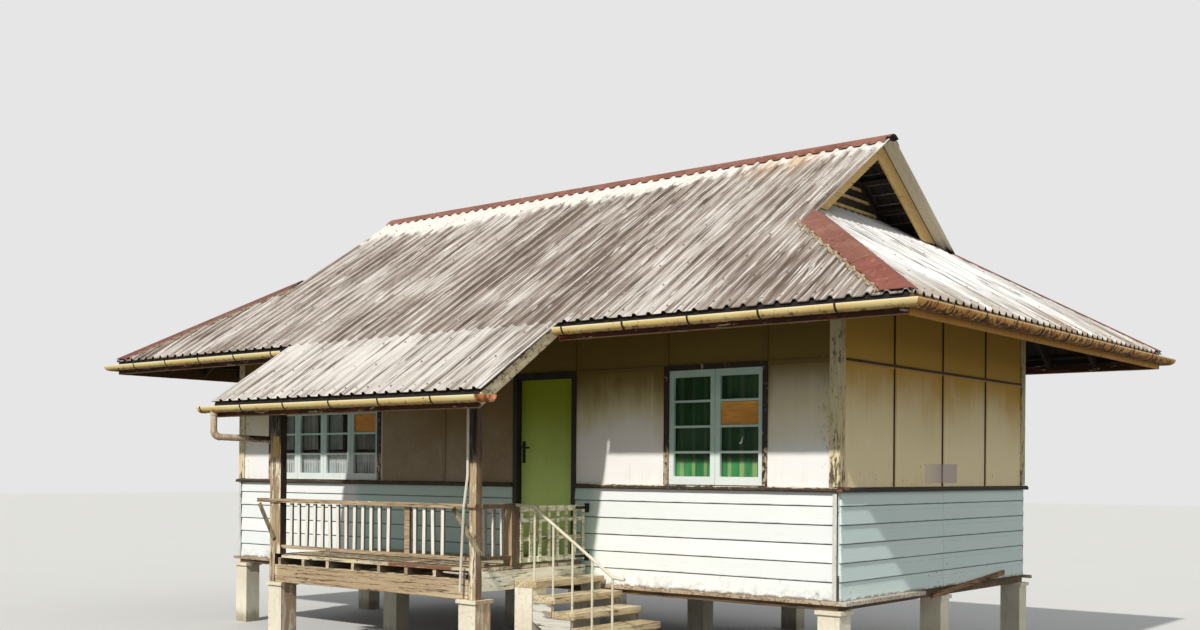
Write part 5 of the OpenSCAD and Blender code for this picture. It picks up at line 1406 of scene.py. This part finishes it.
curtain("green_curtain", 2.645, 3.752, 3.19, 2.045, green_cloth, 0.125, 0.012, 0.4)
for number, (x0, x1) in enumerate([(-3.86, -3.50), (-3.40, -3.02), (-2.90, -2.52), (-2.42, -1.80)]):
    curtain(f"grey_curtain_{number + 1}", x0, x1, 3.19, 2.42, grey_cloth, 0.085, 0.011, 0.7 * number)
for number, (x0, x1) in enumerate([(-3.87, -2.84), (-2.82, -1.79)]):
    curtain(f"lace_curtain_{number + 1}", x0, x1, 2.37, 2.05, lace_cloth, 0.06, 0.010, 1.1 * number,
            ruffle=0.02)

# %% [markdown]
# Boards for two lost panes
# Two panes have been replaced by thin orange-brown boards, and one pane has a chip of broken glass
# standing in it. Each is drawn to the size of its pane, just behind the bars.

# %% Pane boards and the broken glass
def slab(name, low, high, material, edge):
    """A thin board with rounded edges between two corners."""
    mesh = bmesh.new()
    bmesh.ops.create_cube(mesh, size=1.0)
    for corner in mesh.verts:
        corner.co = Vector([low[i] if corner.co[i] < 0 else high[i] for i in range(3)])
    slice_along(mesh, longest(low, high), 0.05)
    round_edges(mesh, edge)
    wear(mesh, min(0.003, edge), 0.05)
    piece(name, mesh, material)


def ply_recipe(place):
    grain = place.cloud(0.012, (0.08, 1, 1), 5.0, 0.62, 81.0)
    broad = place.cloud(0.15, (0.4, 1, 1), 3.0, 0.5, 83.0)
    colour = broad.over(0.3, 0.7).mix((250, 182, 86), (224, 152, 64))
    colour = (grain.over(0.5, 0.68) * 0.7).mix(colour, (172, 108, 44))
    return skin(colour, 0.7, grain, 0.001)


pane_board = finish("orange_pane_board", ply_recipe)
for name, x0, x1 in [("pane_board_right", 3.2585, 3.699), ("pane_board_left", -2.2425, -1.835)]:
    slab(name, (x0, front + 0.033, 2.6395), (x1, front + 0.0405, 2.876), pane_board, 0.0015)


def chip_recipe(place):
    edge = place.cloud(0.02, detail=3.0)
    return skin(edge.mix((236, 240, 238), (214, 222, 220)), 0.25, edge, 0.0005)


mesh = bmesh.new()
outline = [(3.462, 2.452), (3.478, 2.440), (3.494, 2.448), (3.500, 2.476), (3.507, 2.516),
           (3.497, 2.500), (3.488, 2.474), (3.476, 2.462)]
ribbon(mesh, [[(x, front + deep, z) for x, z in outline] for deep in (0.034, 0.040)])
bmesh.ops.recalc_face_normals(mesh, faces=mesh.faces)
piece("broken_glass_chip", mesh, finish("broken_glass_edge", chip_recipe),
      smooth=False)
print("pane boards and the glass chip in place")

# %% [markdown]
# Laths in the gablets
# Between the set-back boards and the bargeboard the underside of the sheets shows, carried on thin
# laths closer together than the main battens. They are too fine for the CAD model and are laid here
# under both slopes, a few millimetres clear of the boards at both ends.

# %% Gablet laths
barge_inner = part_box("bargeboards")[1].x - 0.025
mesh = bmesh.new()
for sign in (-1, 1):
    for turn in (-1, 1):
        for k in range(9):
            out = 0.16 + 0.15 * k
            z = eave_z + (half_depth - out) * slope - 0.004
            x0, x1 = sorted((sign * (infill_x + 0.036), sign * (barge_inner - 0.004)))
            y = middle_y + turn * out
            for corner in bmesh.ops.create_cube(mesh, size=1.0)["verts"]:
                x = x0 if corner.co.x < 0 else x1
                along = -0.006 if corner.co.y < 0 else 0.006
                deep = -0.007 if corner.co.z < 0 else 0.0
                wobble = 0.004 * noise.noise(Vector((x * 3, y * 5, deep)))
                corner.co = Vector((x, y + turn * along, z - along * slope + deep + wobble - 0.004))
bmesh.ops.recalc_face_normals(mesh, faces=mesh.faces)
lath_timber = finish("pale_lath", timber_recipe("X", (150, 144, 130), (118, 110, 96),
                                                (70, 60, 48), shift=35.0))
piece("gablet_laths", mesh, lath_timber, smooth=False)
print("laths laid up to", round(barge_inner - 0.004, 3))

# %% [markdown]
# Roof screws
# The sheets are fixed with a capped screw through every rib at the eave, and through every second
# one at the battens above. A cap is only 24 mm wide, but hundreds of them in rows give the roof its
# scale. All are cones of few faces in one mesh, set on the tops of the ribs along the slope's normal.

# %% Screw caps
def screw(mesh, place, normal):
    """One cap of eight sides, 24 mm wide at its foot and 7 mm high."""
    turn = normal.to_track_quat("Z", "Y")
    rings = []
    for radius, lift in ((0.012, 0.0), (0.006, 0.007)):
        corners = [(radius * math.cos(k * math.tau / 8), radius * math.sin(k * math.tau / 8), lift)
                   for k in range(8)]
        rings.append([mesh.verts.new(place + turn @ Vector(corner)) for corner in corners])
    for k in range(8):
        n = (k + 1) % 8
        mesh.faces.new((rings[0][k], rings[0][n], rings[1][n], rings[1][k]))
    mesh.faces.new(rings[1])


def screw_rows(levels, half):
    """How far up the slope and across it each screw sits: every rib at the eave, then every second."""
    for number, up in enumerate(levels):
        for i in range(-half, half + 1, 1 if number == 0 else 2):
            yield up, i * rib_gap


print("screw rows", list(screw_rows([0.072], 1)))

# %% Rows of screws
mesh = bmesh.new()
levels = [0.072 + 0.44 * k for k in range(9)]
for turn in (-1, 1):
    normal = Vector((0, turn * math.sin(tilt), math.cos(tilt)))
    for up, x in screw_rows(levels, 34):
        inside = eave_x - abs(x) - up
        if abs(inside) < 0.31 and up < 2.3 or abs(x) > verge_x and inside < 0:
            continue
        if turn < 0 and up == levels[0] and -2.05 < x < 2.12:
            continue
        spot = Vector((x, middle_y + turn * (half_depth - up), eave_z + up * slope + rib_top))
        screw(mesh, spot, normal)
for sign in (-1, 1):
    normal = Vector((sign * math.sin(tilt), 0, math.cos(tilt)))
    for up, y in screw_rows(levels[:6], 21):
        if abs(y) > half_depth - up - 0.31 or up > eave_x - infill_x - 0.2:
            continue
        spot = Vector((sign * (eave_x - up), middle_y + y, eave_z + up * slope + rib_top))
        screw(mesh, spot, normal)
porch_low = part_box("porch_roof")[0]
for up, x in screw_rows([0.072, 0.512, 0.952], 11):
    spot = Vector((x, porch_low.y + up, porch_low.z + up * slope + rib_top))
    screw(mesh, spot, Vector((0, -math.sin(tilt), math.cos(tilt))))
print("roof screws", len(mesh.verts) // 16)

# %% Finish of the screws
def cap_recipe(place):
    spot = place.cloud(0.01, detail=3.0)
    own = place.board()
    colour = own.over(0.3, 0.7).mix((206, 200, 192), (132, 96, 74))
    return skin(colour, spot.between(0.5, 0.8), spot, 0.0005, Metallic=own.over(0.6, 0.3) * 0.3)


screws = piece("roof_screws", mesh, finish("screw_cap", cap_recipe),
               smooth=False)
print("screws in one mesh of", len(screws.data.polygons), "faces")

# %% [markdown]
# Odd pieces of timber
# Repairs have left a short cleat nailed to the left post under the roof and a white board pushed in
# between the porch's beam and its deck. Both show in the photograph and are thin.

# %% Cleat and packing board
beam_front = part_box("porch_beams")[0].y
post_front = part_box("porch_posts")[0].y
slab("post_cleat", (-1.592, post_front - 0.018, 2.285), (-1.486, post_front - 0.0005, 2.537),
     cream_timber["Z"], 0.004)
slab("packing_board", (1.120, beam_front + 0.004, 1.096), (1.450, beam_front + 0.080, 1.116),
     white_timber["X"], 0.003)
print("cleat in front of", round(post_front, 3), "and board in front of", round(beam_front + 0.080, 3))

# %% [markdown]
# Floor, light and camera
# The building stands on a wide pale floor. A key light stands in for the late-morning sun, which
# the shadow of the eaves on the front wall places a little to the right of square-on and about 41
# degrees up. A weak, very soft light from the right lifts the end wall, and an even sky fills the
# shade. The floor throws little light back, because open ground would throw little, but it looks pale
# to the camera. The camera's place, lens and shift were worked out from the straight edges of the
# walls, so that the view has the photograph's perspective.

# %% Stage
mesh = bmesh.new()
bmesh.ops.create_grid(mesh, x_segments=8, y_segments=8, size=90)
data = bpy.data.meshes.new("studio_floor")
mesh.to_mesh(data)
mesh.free()
studio_floor = bpy.data.objects.new("studio_floor", data)
bpy.context.scene.collection.objects.link(studio_floor)


def floor_recipe(place):
    faint = place.cloud(2.5, detail=2.0)
    pale = faint.mix((214, 214, 211), (218, 218, 216))
    seen = place.node("ShaderNodeLightPath", output="Is Camera Ray")
    return skin(seen.mix((118, 116, 108), pale), 0.9)


data.materials.append(finish("pale_studio_floor", floor_recipe))
print("floor of", round(studio_floor.dimensions.x), "metres")

# %% Lights and sky
def sun(name, energy, degrees, colour, towards):
    """A distant lamp in a given direction. The wider its angle, the softer its shadows."""
    data = bpy.data.lights.new(name, "SUN")
    data.energy, data.angle, data.color = energy, math.radians(degrees), colour
    lamp = bpy.data.objects.new(name, data)
    bpy.context.scene.collection.objects.link(lamp)
    lamp.rotation_mode = "QUATERNION"
    lamp.rotation_quaternion = Vector(towards).to_track_quat("Z", "Y")


sun("key_light", 3.1, 1.5, (1.0, 0.97, 0.92), (0.2145, -1.0, 0.89))
sun("side_fill", 0.58, 100, (1.0, 0.97, 0.93), (1.0, 0.1, 0.25))

world = bpy.data.worlds.new("studio_sky")
bpy.context.scene.world = world
world.use_nodes = True
tree = world.node_tree
sky = Signal(tree)
seen = sky.node("ShaderNodeLightPath", output="Is Camera Ray")
for ray in ("Is Glossy Ray", "Is Transmission Ray"):
    seen = seen.most(sky.node("ShaderNodeLightPath", output=ray))
background = tree.nodes["Background"]
sky.feed(background.inputs["Color"], seen.mix((0.93, 0.97, 1.0, 1.0), (0.86, 0.86, 0.86, 1.0)))
sky.feed(background.inputs["Strength"], seen.between(0.38, 0.92))
print("lamps", [lamp.name for lamp in bpy.data.lights])

# %% Camera
turn, roll = 0.7308, 0.0074
ahead = Vector((-math.sin(turn), math.cos(turn), 0))
right = Vector((math.cos(turn), math.sin(turn), 0))
up = Vector((0, 0, 1))
rolled_right = right * math.cos(roll) + up * math.sin(roll)
rolled_up = up * math.cos(roll) - right * math.sin(roll)
lens_data = bpy.data.cameras.new("photo_camera")
lens_data.lens = 39.61
lens_data.sensor_width = 36
lens_data.shift_x, lens_data.shift_y = 0.1016, 0.1298
photo_camera = bpy.data.objects.new("photo_camera", lens_data)
photo_camera.matrix_world = Matrix((
    (rolled_right.x, rolled_up.x, -ahead.x, 10.436),
    (rolled_right.y, rolled_up.y, -ahead.y, -13.568),
    (rolled_right.z, rolled_up.z, -ahead.z, 2.151),
    (0, 0, 0, 1)))
bpy.context.scene.collection.objects.link(photo_camera)
bpy.context.scene.camera = photo_camera
bpy.context.scene.view_settings.view_transform = "Standard"
print("camera", [round(v, 3) for v in photo_camera.location], "lens", lens_data.lens)
